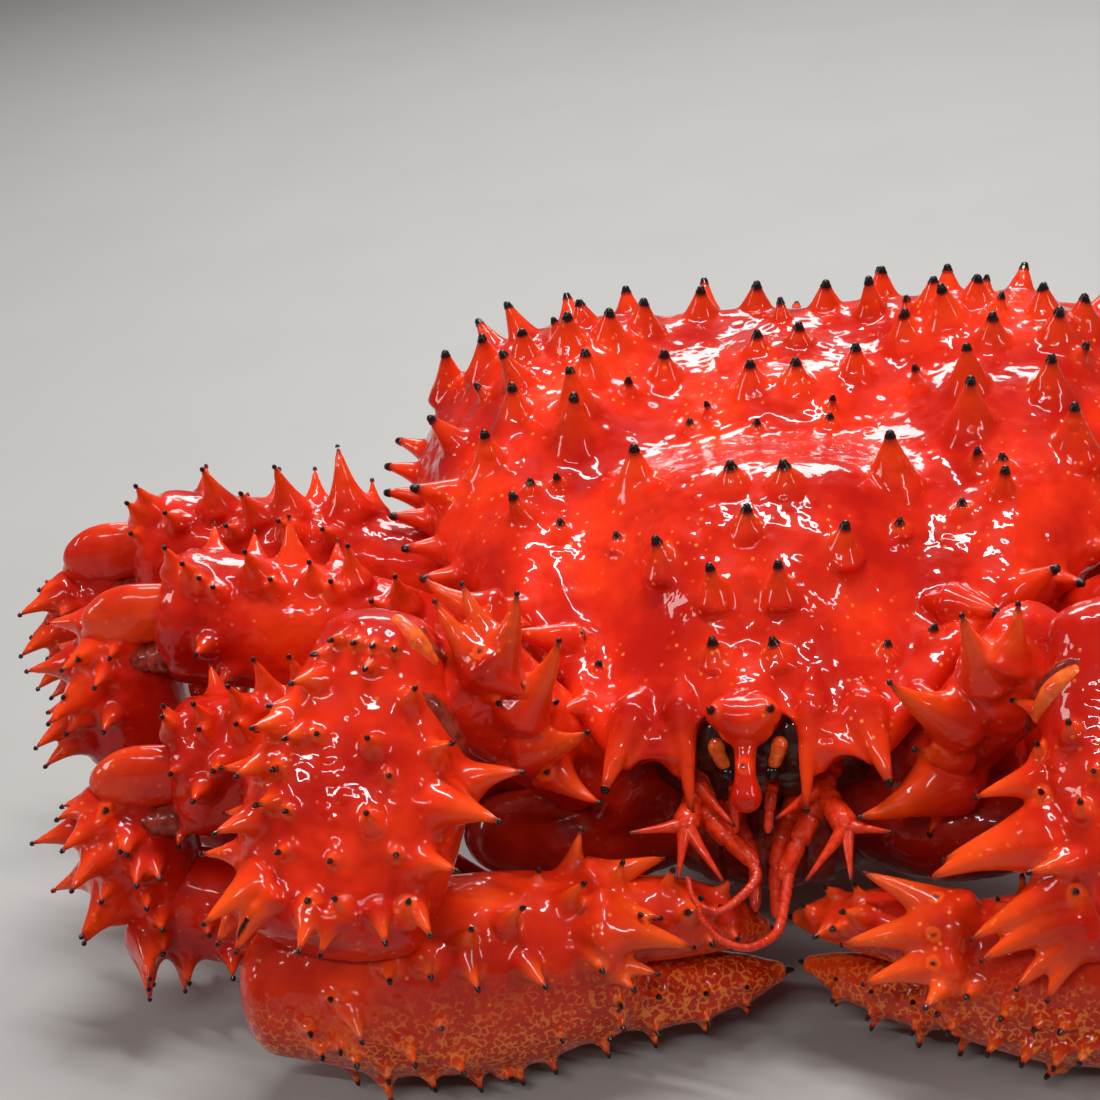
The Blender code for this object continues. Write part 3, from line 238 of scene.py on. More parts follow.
# Spines of the side edge: (y, length, base radius, lean forward); they point outward
EDGE_SPINES = (
    (-22.0, 6.5, 3.0, 8),
    (-14.0, 8.0, 3.4, 5),
    (-5.0, 8.5, 3.5, 2),
    (4.0, 8.5, 3.5, -5),
    (12.5, 8.5, 3.5, -8),
    (21.0, 8.5, 3.5, -12),
    (29.5, 8.5, 3.5, -18),
    (38.0, 8.0, 3.4, -28),
    (45.5, 7.5, 3.2, -38),
)
REAR_EDGE_SPINES = 9
REAR_EDGE_SPAN = 60.0
# Their y and height, and their length and base radius
REAR_EDGE_PLACE = (56.0, 62.5)
REAR_EDGE_FORM = (5.0, 2.4)
# More rows on the rear wall, found from behind: (height, number, length)
BEHIND_CRAB = 120.0
REAR_WALL_SPAN = 88.0
REAR_WALL_JITTER = 1.5
REAR_WALL_ROOM = 4.5
REAR_WALL_ROWS = ((70.0, 9, 4.2), (55.0, 12, 3.0), (49.0, 10, 2.6))
ORBITAL_SPINE = ((9.6, -50.4, 50.2), (8.4, -59.6, 36.8), 2.9)
CORNER_SPINE = ((17.0, -50.5, 48.0), (20.9, -60.0, 41.4), 4.2)
BROW_SPINE = ((3.9, -54.4, 51.0), (4.5, -56.9, 53.2), 2.0)
ROSTRUM_SPINE = ((0.0, -57.4, 44.2), (0.0, -59.3, 44.9), 0.75)

THORAX_STATIONS = (
    (-47.0, 13.0, 33.0),
    (-38.0, 23.0, 24.5),
    (-20.0, 33.0, 21.0),
    (5.0, 38.0, 20.0),
    (28.0, 34.0, 22.0),
    (44.0, 22.0, 29.0),
)
ABDOMEN_LINE = ((55.0, 53.0), (54.0, 41.0), (46.0, 28.0), (30.0, 21.5), (8.0, 19.5), (-14.0, 20.0))
ABDOMEN_HALF_WIDTHS = (17.0, 23.0, 27.0, 28.0, 25.0, 12.0)
ABDOMEN_HALF_THICKNESS = (4.5, 5.5, 5.5, 5.0, 4.5, 3.5)
# Depth of the grooves between the tail's plates, as a share of its half thickness
PLATE_GROOVE = 0.2
# The tail's small spines: rows by angle, lengths, base radius, and how unevenly they stand
TAIL_ANGLES = range(-75, 76, 25)
TAIL_SPINE_LENGTHS = (1.6, 3.8)
TAIL_SPINE_RADIUS = 1.7
TAIL_JITTER = 0.022

# Walking legs of the right side, from the body to the claw tip
LEGS = {
    "front": ((-30.0, -29.0, 31.5), (-42.0, -36.5, 34.5), (-94.0, -50.0, 42.0),
              (-98.0, -52.0, 20.5), (-62.0, -47.0, 11.0), (-36.0, -43.0, 4.5)),
    "middle": ((-31.0, -14.0, 35.0), (-43.0, -19.0, 41.0), (-101.0, -25.0, 58.0),
               (-106.0, -26.0, 34.0), (-80.0, -24.5, 11.0), (-52.0, -22.0, 4.5)),
    "rear": ((-31.0, 8.0, 36.0), (-45.0, 5.0, 42.0), (-115.0, 3.0, 57.0),
             (-120.0, 2.0, 34.0), (-92.0, 3.0, 11.0), (-63.0, 5.0, 4.5)),
}
# Half sizes along each leg segment: (place along it, half height, half depth)
LEG_FORMS = {
    "ischium": ((0.0, 9.0, 7.5), (0.6, 8.8, 7.5), (1.0, 8.4, 7.2)),
    "merus": ((0.0, 8.0, 6.5), (0.45, 10.8, 8.6), (0.88, 11.0, 9.2), (0.96, 11.2, 9.6), (1.0, 9.8, 8.4)),
    "carpus": ((0.0, 6.2, 6.0), (0.3, 8.8, 8.4), (0.6, 9.5, 9.0), (1.0, 9.2, 8.6)),
    "propodus": ((0.0, 8.6, 8.0), (0.5, 8.8, 7.6), (1.0, 5.8, 5.4)),
    "dactylus": ((0.0, 5.4, 4.8), (0.4, 4.6, 4.0), (0.8, 2.6, 2.2), (1.0, 0.8, 0.8)),
}

# The knees: the top of the carpus and the smooth face that joins it to the merus, both from the knee
MERUS_SHORTER = 0.075
CARPUS_TOP = (-3.4, 0.2, -3.0)
KNEE_FACE = ((5.5, -1.0, 0.6), (-1.0, -3.6, 0.8), (-4.8, -4.4, -0.4), (-6.6, -4.2, -2.4))
KNEE_FACE_RADII = (4.9, 5.3, 4.7, 3.4)
# The face is flattened towards a plane this far in front of the knee
KNEE_PLANE = 4.8
KNEE_FLATNESS = 0.55
KNEE_SKIN = ((4.5, -4.5, -6.5), (-0.5, -5.5, -6.5))
KNEE_SKIN_RADII = (3.0, 2.2)
# Strips of soft skin at the elbows: (finish, radius, pixels of the picture that they pass through)
ELBOW_STRIPS_PX = {
    "right": (
        ("gold", 1.9, ((398, 624), (409, 636), (420, 649), (430, 662))),
        ("membrane", 0.7, ((408, 612), (422, 630), (434, 650), (446, 660), (460, 650))),
        ("membrane", 1.9, ((404, 694), (428, 704), (446, 726), (458, 752), (464, 778))),
    ),
    "left": (
        ("gold", 1.8, ((1078, 672), (1062, 684), (1048, 700), (1040, 716))),
        ("membrane", 0.8, ((1098, 662), (1066, 664), (1044, 684), (1032, 708), (1026, 730))),
    ),
}
# How deep the strips lie, as a share of their radius
STRIP_SINK = 0.72
# The arm's merus lies this much farther out than its CAD centre line, because it is slimmer here
MERUS_OUT = 3.0

# Claw legs: the right one is the larger
CLAWS = {
    "right": {
        "hip": (-17.0, -38.0, 31.0), "merus": (-24.0, -43.0, 36.0), "elbow": (-40.0, -54.0, 60.0),
        "carpus": ((-51.6, -54.9, 64.6), (-59.5, -77.0, 31.0)),
        "palm": ((-71.0, -74.0, 17.0), (-22.0, -65.5, 17.2)),
        "fixed_tip": (1.0, -58.5, 9.0), "moving_tip": (-0.5, -58.5, 17.0), "size": 1.0,
    },
    "left": {
        "hip": (17.0, -38.0, 31.0), "merus": (24.0, -42.0, 36.0), "elbow": (40.0, -51.0, 58.0),
        "carpus": ((51.3, -52.9, 61.2), (59.0, -73.5, 28.0)),
        "palm": ((69.0, -70.0, 14.5), (29.0, -66.0, 14.2)),
        "fixed_tip": (7.5, -60.5, 11.5), "moving_tip": (6.5, -60.0, 19.5), "size": 0.84,
    },
}
# The horny nail at each finger's tip: start before the tip, length past it, base radius, dark height
NAIL_ROOT = 1.5
NAIL_LENGTH = 2.9
NAIL_RADIUS = 2.4
NAIL_DARK = 3.2
# The thick underside of each arm's base, for the right side
HIP_LOBE = ((-12.0, -37.0, 27.0), (-27.0, -43.5, 25.0), (-41.0, -43.5, 25.5))
HIP_LOBE_RADII = (8.5, 8.5, 7.0)
# The field of the mouth, between the arms' bases
MOUTH_FIELD = ((-9.0, -41.0, 23.5), (0.0, -43.0, 23.5), (9.0, -41.0, 23.5))
MOUTH_FIELD_RADIUS = 8.0
CLAW_FORMS = {
    "ischium": ((0.0, 10.5, 9.0), (1.0, 11.0, 9.5)),
    "merus": ((0.0, 7.0, 7.4), (0.5, 7.6, 8.2), (0.85, 8.4, 9.2), (1.0, 8.8, 9.6)),
    "carpus": ((0.0, 8.0, 9.4), (0.25, 10.5, 13.2), (0.6, 12.0, 16.2), (1.0, 10.5, 14.5)),
    "palm": ((0.0, 10.0, 9.0), (0.35, 14.6, 11.6), (0.7, 14.8, 12.0), (1.0, 11.5, 10.0)),
    "fixed": ((0.0, 6.5, 7.0), (0.5, 5.6, 5.8), (0.85, 3.6, 3.8), (1.0, 1.8, 1.9)),
    "moving": ((0.0, 6.4, 7.2), (0.5, 5.7, 6.0), (0.85, 3.6, 3.8), (1.0, 1.7, 1.8)),
}

# Tips of spines as pixels of the picture's square frame, with their lengths in millimetres and, where
# the picture shows them, the pixels of their roots
CLAW_TIPS_PX = {
    "claw_carpus_right": (
        (287, 681, 6.5), (268, 706, 3.5), (250, 729, 8.0, 285, 725), (281, 739, 5.0),
        (234, 778, 8.5, 268, 765),
        (258, 804, 5.0), (212, 835, 8.5, 258, 820), (278, 853, 3.0), (201, 927, 10.5, 255, 885),
        (217, 946, 5.0, 238, 925), (236, 954, 7.0, 262, 915), (248, 920, 4.5, 275, 895),
        (298, 954, 7.0, 310, 915), (320, 957, 5.0, 330, 925), (333, 897, 4.5, 345, 915),
        (386, 946, 5.5, 378, 915), (408, 898, 4.5, 405, 918), (432, 938, 7.0, 412, 905),
        (365, 671, 4.0), (416, 687, 5.0, 412, 700), (366, 737, 5.0, 378, 748), (454, 743, 6.0, 432, 755),
        (365, 812, 4.5, 372, 825), (526, 772, 11.0, 462, 780), (502, 823, 12.5, 440, 810),
        (459, 872, 8.0, 420, 862), (330, 640, 3.5), (362, 606, 2.6), (382, 600, 2.6),
        (312, 655, 3.0), (333, 862, 2.5), (300, 900, 3.0), (395, 645, 2.5), (352, 645, 2.5),
        (320, 738, 1.8), (392, 775, 1.8), (398, 858, 2.2), (270, 770, 3.0), (290, 810, 2.2),
    ),
    "claw_merus_right": (
        (421, 576, 8.5, 432, 625), (433, 598, 9.0, 452, 648), (461, 581, 10.5, 465, 640),
        (517, 590, 13.0, 492, 665), (560, 637, 14.0, 520, 705), (590, 731, 12.5, 532, 745),
        (602, 804, 10.0, 552, 768), (500, 705, 3.5, 492, 690), (520, 693, 3.0, 515, 700),
        (548, 772, 4.0, 540, 765), (480, 655, 4.0, 478, 672), (560, 700, 3.0), (500, 780, 3.0),
    ),
    "claw_palm_right": (
        (582, 828, 6.5, 575, 862), (669, 857, 8.0, 638, 880), (586, 882, 6.0, 566, 905),
        (525, 907, 5.0, 510, 925), (473, 928, 4.5, 465, 942), (540, 868, 2.5),
        (663, 919, 6.5, 640, 905), (697, 949, 7.0, 668, 925), (390, 984, 4.5, 384, 966),
        (432, 980, 4.0, 426, 965), (479, 992, 5.0, 465, 965), (547, 989, 6.0, 528, 964),
        (603, 973, 5.0, 590, 955), (636, 992, 5.5, 626, 965), (660, 975, 4.0, 652, 960),
        (363, 1045, 6.0, 354, 1012), (416, 1068, 5.0, 406, 1045), (465, 1076, 4.5, 454, 1058),
        (513, 1081, 3.5, 504, 1068), (613, 1061, 3.0), (563, 1089, 2.6), (529, 1096, 2.8), (482, 1093, 2.8),
        (438, 1091, 2.8), (392, 1084, 3.5), (357, 1068, 3.0), (341, 1055, 3.0), (322, 1058, 3.2),
        (308, 1035, 3.0), (330, 1000, 2.4), (440, 1030, 2.0), (560, 1040, 2.0), (640, 1030, 2.4),
        (690, 1000, 2.4),
    ),
    "claw_finger_right": (
        (700, 898, 3.0), (722, 905, 2.4), (715, 945, 2.4), (740, 940, 2.0), (690, 915, 2.6),
    ),
}
LEFT_TIPS_PX = {
    "claw_merus_left": (
        (961, 612, 13.0, 988, 668), (1018, 601, 9.5, 1022, 652), (887, 680, 15.0, 958, 716),
        (915, 749, 8.5, 962, 752), (856, 818, 17.5, 945, 778), (930, 836, 3.5, 942, 818),
    ),
    "claw_carpus_left": (
        (973, 799, 9.5, 1016, 782), (925, 881, 14.0, 992, 852), (940, 862, 11.0, 985, 846),
        (1036, 742, 4.0, 1040, 755), (1068, 720, 3.5, 1072, 735), (1040, 790, 3.5, 1044, 802),
        (1040, 872, 6.0, 1048, 848), (968, 942, 9.0, 1005, 918), (978, 963, 11.5, 1030, 936),
        (1014, 992, 9.0, 1046, 962), (1046, 1004, 6.0, 1060, 980), (1080, 800, 3.0, 1084, 812),
        (1075, 890, 3.5, 1080, 905), (1010, 700, 3.0, 1016, 712),
    ),
    "claw_palm_left": (
        (860, 872, 9.5, 898, 905), (838, 946, 8.5, 872, 918), (860, 986, 7.0, 884, 962),
        (924, 1010, 8.5, 952, 982), (905, 932, 3.0), (930, 900, 3.0), (985, 1056, 4.0), (1022, 1067, 4.5),
        (1052, 1069, 4.5), (1078, 1063, 4.5), (945, 1036, 4.0), (895, 1016, 3.6), (916, 960, 4.0),
        (965, 1000, 4.0), (1000, 1020, 4.0), (880, 890, 3.0), (1030, 1030, 3.4), (1060, 1035, 3.4),
    ),
    "claw_finger_left": (
        (822, 886, 3.4, 835, 896), (840, 912, 5.0, 862, 918), (815, 940, 4.0), (852, 884, 3.0),
        (832, 930, 3.4), (800, 905, 2.4),
    ),
}
LEG_TIPS_PX = {
    "rear_leg_merus_right": (
        (105, 496, 6.5), (136, 487, 7.0), (198, 468, 9.0), (240, 490, 7.0), (271, 465, 9.5), (276, 518, 6.0),
        (337, 444, 12.0), (375, 475, 6.0), (165, 510, 5.0), (225, 525, 4.5), (320, 530, 4.5),
        (120, 530, 3.5),
    ),
    "rear_leg_carpus_right": (
        (18, 618, 9.0), (17, 659, 9.5), (35, 692, 8.0), (30, 640, 6.0), (50, 700, 5.5), (38, 590, 5.0),
        (60, 620, 4.0), (45, 660, 5.0),
    ),
    "middle_leg_merus_right": (
        (163, 543, 6.5), (180, 564, 6.0), (196, 580, 4.0), (242, 554, 7.5), (349, 543, 7.5),
        (395, 574, 8.0), (310, 560, 5.0), (210, 590, 3.5), (270, 580, 4.0), (196, 657, 5.0),
        (330, 580, 4.0), (370, 600, 5.0), (220, 690, 4.0),
    ),
    "middle_leg_carpus_right": (
        (45, 725, 9.5), (35, 748, 9.0), (43, 769, 8.5), (75, 660, 5.0), (57, 672, 7.0), (60, 700, 6.0),
        (95, 690, 5.0), (110, 660, 4.0), (65, 735, 6.0), (100, 735, 5.0),
    ),
    "middle_leg_propodus_right": (
        (46, 812, 9.0), (58, 795, 6.0), (80, 775, 5.0), (55, 822, 5.0), (70, 830, 6.0),
    ),
    "front_leg_merus_right": (
        (162, 716, 5.5), (192, 703, 5.0), (225, 684, 7.0), (251, 660, 8.0), (290, 656, 8.0),
        (155, 773, 3.0), (195, 803, 5.5), (200, 730, 3.0), (235, 720, 4.0), (124, 707, 5.0), (215, 770, 4.0),
        (175, 850, 4.0),
    ),
    "front_leg_carpus_right": (
        (54, 822, 7.0), (58, 853, 8.5), (68, 895, 9.5), (77, 940, 9.0), (85, 945, 9.0), (116, 853, 4.0),
        (136, 888, 5.5), (128, 856, 4.0), (60, 808, 5.0), (100, 905, 5.0), (110, 800, 3.0),
        (160, 880, 4.0), (150, 910, 4.0),
    ),
    "front_leg_propodus_right": (
        (103, 978, 9.0), (115, 988, 9.0), (138, 1017, 8.5), (163, 934, 5.0), (150, 1005, 6.0),
        (165, 955, 4.5), (190, 985, 5.0), (231, 981, 5.0), (210, 940, 4.0), (260, 965, 4.0),
        (180, 1010, 6.0),
    ),
}
EYE = {"stalk": ((4.7, -53.2, 45.0), (4.4, -53.7, 43.9), (3.7, -54.0, 42.2)), "stalk_radius": 1.08,
       "cornea": (3.35, -54.3, 41.0), "cornea_radius": 1.15}
# Dark forms behind and below the eyes: painted shade that fills the face's hollow
FACE_SHADE_FILL = ((-8.5, -44.4, 42.6), (0.0, -45.6, 42.6), (8.5, -44.4, 42.6))
FACE_SHADE_FILL_RADIUS = 6.8
FACE_SHADE_FLOOR = ((-15.0, -42.0, 38.5), (0.0, -46.0, 37.5), (15.0, -42.0, 38.5))
FACE_SHADE_FLOOR_RADIUS = 5.5
ACICLE_HUBS = {"right": (-9.4, -60.3, 35.9), "left": (14.0, -59.2, 34.5)}
ACICLE_TIPS = {
    "right": ((-17.2, -64.0, 36.9), (-9.9, -68.1, 31.3), (-3.3, -67.1, 29.9)),
    "left": ((14.8, -66.3, 29.4), (8.2, -67.6, 30.1), (20.8, -62.0, 35.0)),
}
PEDUNCLE = {
    "right": ((-11.0, -45.0, 41.0), (-8.0, -53.2, 36.6), (-5.2, -57.8, 34.1), (0.5, -62.5, 30.7)),
    "left": ((11.5, -45.0, 40.5), (9.6, -52.5, 36.4), (8.0, -56.5, 33.4), (4.5, -62.6, 28.3)),
}
INNER_SPINE = {
    "right": ((-7.6, -54.5, 38.4), (-1.9, -61.0, 35.8)),
    "left": ((9.4, -54.0, 37.6), (4.2, -62.6, 37.8)),
}
FLAGELLUM = {
    "right": ((-1.6, -60.8, 32.1), (0.9, -64.2, 29.4), (-2.2, -68.0, 27.3), (-4.7, -69.8, 27.1),
              (-7.5, -69.7, 28.8), (-8.5, -67.7, 31.3)),
    "left": ((5.7, -60.4, 30.0), (5.0, -65.0, 26.6), (4.0, -69.3, 23.5), (1.5, -72.4, 23.0),
             (-1.1, -73.9, 23.6), (-4.1, -73.8, 25.3), (-6.0, -73.2, 27.8), (-6.6, -72.3, 29.8)),
}
ANTENNULE = ((2.6, -44.5, 38.6), (2.7, -53.5, 37.0), (2.4, -58.5, 33.6))
MAXILLIPED = {
    "right": ((-5.5, -43.5, 33.0), (-3.2, -51.0, 30.6), (-0.6, -55.5, 26.6), (-0.4, -60.5, 21.6)),
    "left": ((6.5, -43.5, 33.4), (4.4, -51.5, 31.0), (2.8, -57.0, 26.4), (3.0, -63.0, 22.0)),
}

# Colours of the dark horn, the floor and the room, and the strength of the room's light
DARK_HORN = (0.012, 0.007, 0.006)
FLOOR_COLOURS = ((0.35, 0.34, 0.325), (0.38, 0.37, 0.355))
ROOM_COLOUR = (0.90, 0.93, 1.0, 1.0)
ROOM_LIGHT = 0.10
# Soft studio lights: (name, place, target, width, height, power), in metres and watts
LIGHTS = (
    ("back_window", (-0.05, 0.75, 0.62), (0.0, 0.0, 0.06), 0.70, 0.22, 6.4),
    ("top_strip", (0.02, 0.05, 0.80), (0.0, 0.0, 0.05), 0.50, 0.05, 4.6),
    ("front_strip", (-0.10, -0.60, 0.62), (0.0, -0.02, 0.05), 0.50, 0.02, 1.9),
    ("side_strip", (0.60, -0.25, 0.40), (0.0, 0.0, 0.04), 0.04, 0.30, 1.2),
    ("left_softbox", (-0.65, -0.20, 0.35), (0.0, 0.0, 0.04), 0.12, 0.25, 1.1),
)

# The part's source puts the origin under the middle of the whole box; one eye shows by how much
low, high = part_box("cornea_right")
SHIFT = (low + high) * 0.5 - Vector((-EYE["cornea"][0], EYE["cornea"][1], EYE["cornea"][2])) * MM


def smooth_between(stations, place):
    """Values at a place along a table of (place, value, value...), eased between its rows."""
    if place <= stations[0][0]:
        return stations[0][1:]
    if place >= stations[-1][0]:
        return stations[-1][1:]
    last = len(stations) - 1
    low_row = max(index for index in range(last) if stations[index][0] <= place)
    before = stations[max(low_row - 1, 0)]
    start = stations[low_row]
    end = stations[low_row + 1]
    after = stations[min(low_row + 2, last)]
    span = end[0] - start[0]
    part = (place - start[0]) / span
    values = []
    for column in range(1, len(start)):
        slope_in = (end[column] - before[column]) / max(end[0] - before[0], 1e-6) * span
        slope_out = (after[column] - start[column]) / max(after[0] - start[0], 1e-6) * span
        cube = part ** 3
        square = part ** 2
        values.append((2 * cube - 3 * square + 1) * start[column] + (cube - 2 * square + part) * slope_in
                      + (3 * square - 2 * cube) * end[column] + (cube - square) * slope_out)
    return tuple(values)


def along(points, place):
    """A point and tangent on a smooth curve through the points, place running from 0 to 1."""
    table = [(index / (len(points) - 1), *point) for index, point in enumerate(points)]
    step = 0.01
    here = Vector(smooth_between(table, place))
    ahead = Vector(smooth_between(table, min(place + step, 1.0)))
    behind = Vector(smooth_between(table, max(place - step, 0.0)))
    return here, (ahead - behind).normalized()


def rounded(value, power):
    """Superellipse form of a sine or cosine."""
    return math.copysign(abs(value) ** (2.0 / power), value)


def mirrored(point, side):
    """The point of the right side, or its mirror image for the left side."""
    return Vector((point[0] if side == "right" else -point[0], point[1], point[2]))


def eased(low_edge, high_edge, value):
    """Smooth step from 0 to 1 between two edges, for numbers or arrays."""
    share = np.clip((value - low_edge) / (high_edge - low_edge), 0.0, 1.0)
    return share * share * (3.0 - 2.0 * share)


def picture_axes():
    """Right, up and forward directions of the picture's camera."""
    forward = Vector((math.sin(CAMERA_YAW) * math.cos(CAMERA_DOWN),
                      math.cos(CAMERA_YAW) * math.cos(CAMERA_DOWN), -math.sin(CAMERA_DOWN)))
    level = Vector((math.cos(CAMERA_YAW), -math.sin(CAMERA_YAW), 0.0))
    upright = level.cross(forward)
    right = level * math.cos(CAMERA_ROLL) + upright * math.sin(CAMERA_ROLL)
    up = upright * math.cos(CAMERA_ROLL) - level * math.sin(CAMERA_ROLL)
    return right, up, forward


def picture_sight(pixel_x, pixel_y):
    """Direction in which the camera sees a pixel of the picture's square frame."""
    right, up, forward = picture_axes()
    side = right * ((pixel_x - FRAME_PX / 2.0) / FOCAL_PX)
    return (forward + side + up * ((FRAME_PX / 2.0 - pixel_y) / FOCAL_PX)).normalized()


def circle(centre, across, other, radius, sides):
    """Points spread evenly round a centre."""
    turns = [2.0 * math.pi * index / sides for index in range(sides)]
    return [centre + (across * math.cos(turn) + other * math.sin(turn)) * radius for turn in turns]


def closed(rows):
    """Rings with one middle point at each end."""
    ends = [[sum(row, Vector()) / len(row)] for row in (rows[0], rows[-1])]
    return [ends[0]] + rows + [ends[1]]


def placed(name, data):
    """A new object in the scene."""
    item = bpy.data.objects.new(name, data)
    bpy.context.scene.collection.objects.link(item)
    return item


class Limb:
    """A closed tapering form along a smooth line, with rounded or pointed ends."""

    def __init__(self, points, form, up, face, caps=(3.0, 3.0), size=1.0, power=2.2, plates=0):
        self.points = [Vector(point) for point in points]
        self.plates = plates
        self.form = [(row[0], row[1] * size, row[2] * size) for row in form]
        self.up = Vector(up)
        self.face = Vector(face)
        self.caps = caps
        self.power = power

    def frame(self, place):
        """Centre, direction, up vector, facing vector and half sizes at a place along the limb."""
        centre, heading = along(self.points, place)
        up = (self.up - heading * self.up.dot(heading)).normalized()
        face = up.cross(heading)
        if face.dot(self.face) < 0:
            face = -face
        half_up, half_face = smooth_between(self.form, place)
        if self.plates:
            half_up *= 1.0 - PLATE_GROOVE * math.cos(math.pi * self.plates * place) ** 24
        return centre, heading, up, face, half_up, half_face

    def at(self, place, angle):
        """Surface point, outward direction and heading; angle 0 is up, 90 is the facing side."""
        centre, heading, up, face, half_up, half_face = self.frame(place)
        turn = math.radians(angle)
        rise = rounded(math.cos(turn), self.power)
        reach = rounded(math.sin(turn), self.power)
        point = centre + up * (half_up * rise) + face * (half_face * reach)
        outward = up * (math.cos(turn) / half_up) + face * (math.sin(turn) / half_face)
        return point, outward.normalized(), heading

    def rings(self, sides=40, steps=30, cap_steps=7):
        """Rings of points from the start pole to the end pole."""
        rows = []
        centre, heading, up, face, half_up, half_face = self.frame(0.0)
        rows.append([centre - heading * self.caps[0]])
        for step in range(1, cap_steps):
            turn = 0.5 * math.pi * (1.0 - step / cap_steps)
            rows.append(self.ring(sides, centre - heading * (self.caps[0] * math.sin(turn)), up, face,
                                  half_up * math.cos(turn), half_face * math.cos(turn)))
        for step in range(steps + 1):
            middle, _, up_here, face_here, tall, deep = self.frame(step / steps)
            rows.append(self.ring(sides, middle, up_here, face_here, tall, deep))
        centre, heading, up, face, half_up, half_face = self.frame(1.0)
        for step in range(1, cap_steps):
            turn = 0.5 * math.pi * step / cap_steps
            rows.append(self.ring(sides, centre + heading * (self.caps[1] * math.sin(turn)), up, face,
                                  half_up * math.cos(turn), half_face * math.cos(turn)))
        rows.append([centre + heading * self.caps[1]])
        return rows

    def ring(self, sides, centre, up, face, half_up, half_face):
        """One cross-section."""
        points = []
        for index in range(sides):
            turn = 2.0 * math.pi * (index + 0.5) / sides
            points.append(centre + up * (half_up * rounded(math.cos(turn), self.power))
                          + face * (half_face * rounded(math.sin(turn), self.power)))
        return points


def tube(points, radii, sides=20, steps=40, groove=0.0, joints=0):
    """Rings of a round form through the points; it flares towards evenly spaced joints, which pinch it."""
    table = [(index / (len(radii) - 1), radius) for index, radius in enumerate(radii)]
    stations = []
    for step in range(steps + 1):
        place = step / steps
        centre, heading = along([Vector(point) for point in points], place)
        radius = smooth_between(table, place)[0]
        if joints:
            radius *= 1.0 - groove * math.cos(math.pi * joints * place) ** 30
            radius *= 1.0 + 0.7 * groove * (joints * place % 1.0 - 0.6)
        stations.append((centre, heading, radius))
    first, last = stations[0], stations[-1]
    starts = [(first[0] - first[1] * (first[2] * math.sin(turn)), first[1], first[2] * math.cos(turn))
              for turn in (1.25, 0.85, 0.4)]
    ends = [(last[0] + last[1] * (last[2] * math.sin(turn)), last[1], last[2] * math.cos(turn))
            for turn in (0.4, 0.85, 1.25)]
    across = first[1].orthogonal().normalized()
    rows = [[first[0] - first[1] * first[2]]]
    for centre, heading, radius in starts + stations + ends:
        across = (across - heading * across.dot(heading)).normalized()
        other = heading.cross(across)
        rows.append(circle(centre, across, other, radius, sides))
    rows.append([last[0] + last[1] * last[2]])
    return rows


def taper(left, flare):
    """Thickness of a spine where that share of its length is left, as a share of its root's."""
    return (1.0 - flare) * left + flare * left ** 4


class Spine:
    """A horn of the shell from its root to its tip, with a flared foot and a dark point."""

    def __init__(self, root, tip, radius, bend=0.0, dark=True, point=SPINE_POINT):
        self.root = Vector(root)
        self.tip = Vector(tip)
        self.radius = radius
        self.point = min(point, 0.14 * radius)
        self.length = (self.tip - self.root).length
        self.heading = (self.tip - self.root) / self.length
        self.depth = 1.25 * radius + 0.6
        self.mound = 0.09 * self.length
        if point > SPINE_POINT:
            self.mound = min(0.22 * self.length, 0.42 * radius, 1.8)
        side = self.heading.cross(Vector((0.0, 0.0, 1.0)))
        self.side = side.cross(self.heading).normalized() if side.length > 0.05 else Vector((0.0, 1.0, 0.0))
        self.bend = bend
        self.dark = dark
        self.cap = 0.0
        self.flare = BACK_FLARE if point > SPINE_POINT else SPINE_FLARE

    def dark_height(self, bead):
        """How much of the tip is black, where most of the piece's spines have a bead of that height."""
        return self.cap or min(bead, BEAD_SHARE * self.length)

    def centre(self, share):
        """A point of the middle line; it bows a little towards the side."""
        bow = self.bend * self.length * 4.0 * share * (1.0 - share)
        return self.root + self.heading * (self.length * share) + self.side * bow

    def thickness(self, share):
        """Radius at a share of the length; the foot flares and the tip is blunt."""
        if share < 0.0:
            return self.radius * max(1.0 + share * self.length / self.depth, 0.05)
        return (self.radius - self.point) * taper(max(1.0 - share, 0.0), self.flare) + self.point

    def rings(self, start, end, sides, steps, extra=0.0, sink=0.0):
        """Rings between two shares of the length, closed at both ends; sink lowers them all."""
        rows = [[self.centre(start)]]
        for step in range(steps + 1):
            share = start + (end - start) * step / steps
            ahead = (self.centre(share + 0.01) - self.centre(share - 0.01)).normalized()
            across = ahead.cross(self.side).normalized()
            other = ahead.cross(across)
            radius = self.thickness(share) + extra
            rows.append(circle(self.centre(share), across, other, radius, sides))
        blunt = self.thickness(end) + extra
        top = rows[-1]
        middle = self.centre(end)
        ahead = (middle - self.centre(end - 0.01)).normalized()
        for turn in (0.5, 1.0):
            rows.append([middle + (point - middle) * math.cos(turn) + ahead * (blunt * math.sin(turn))
                         for point in top])
        rows.append([middle + ahead * blunt])
        return [[point - self.heading * sink for point in row] for row in rows]


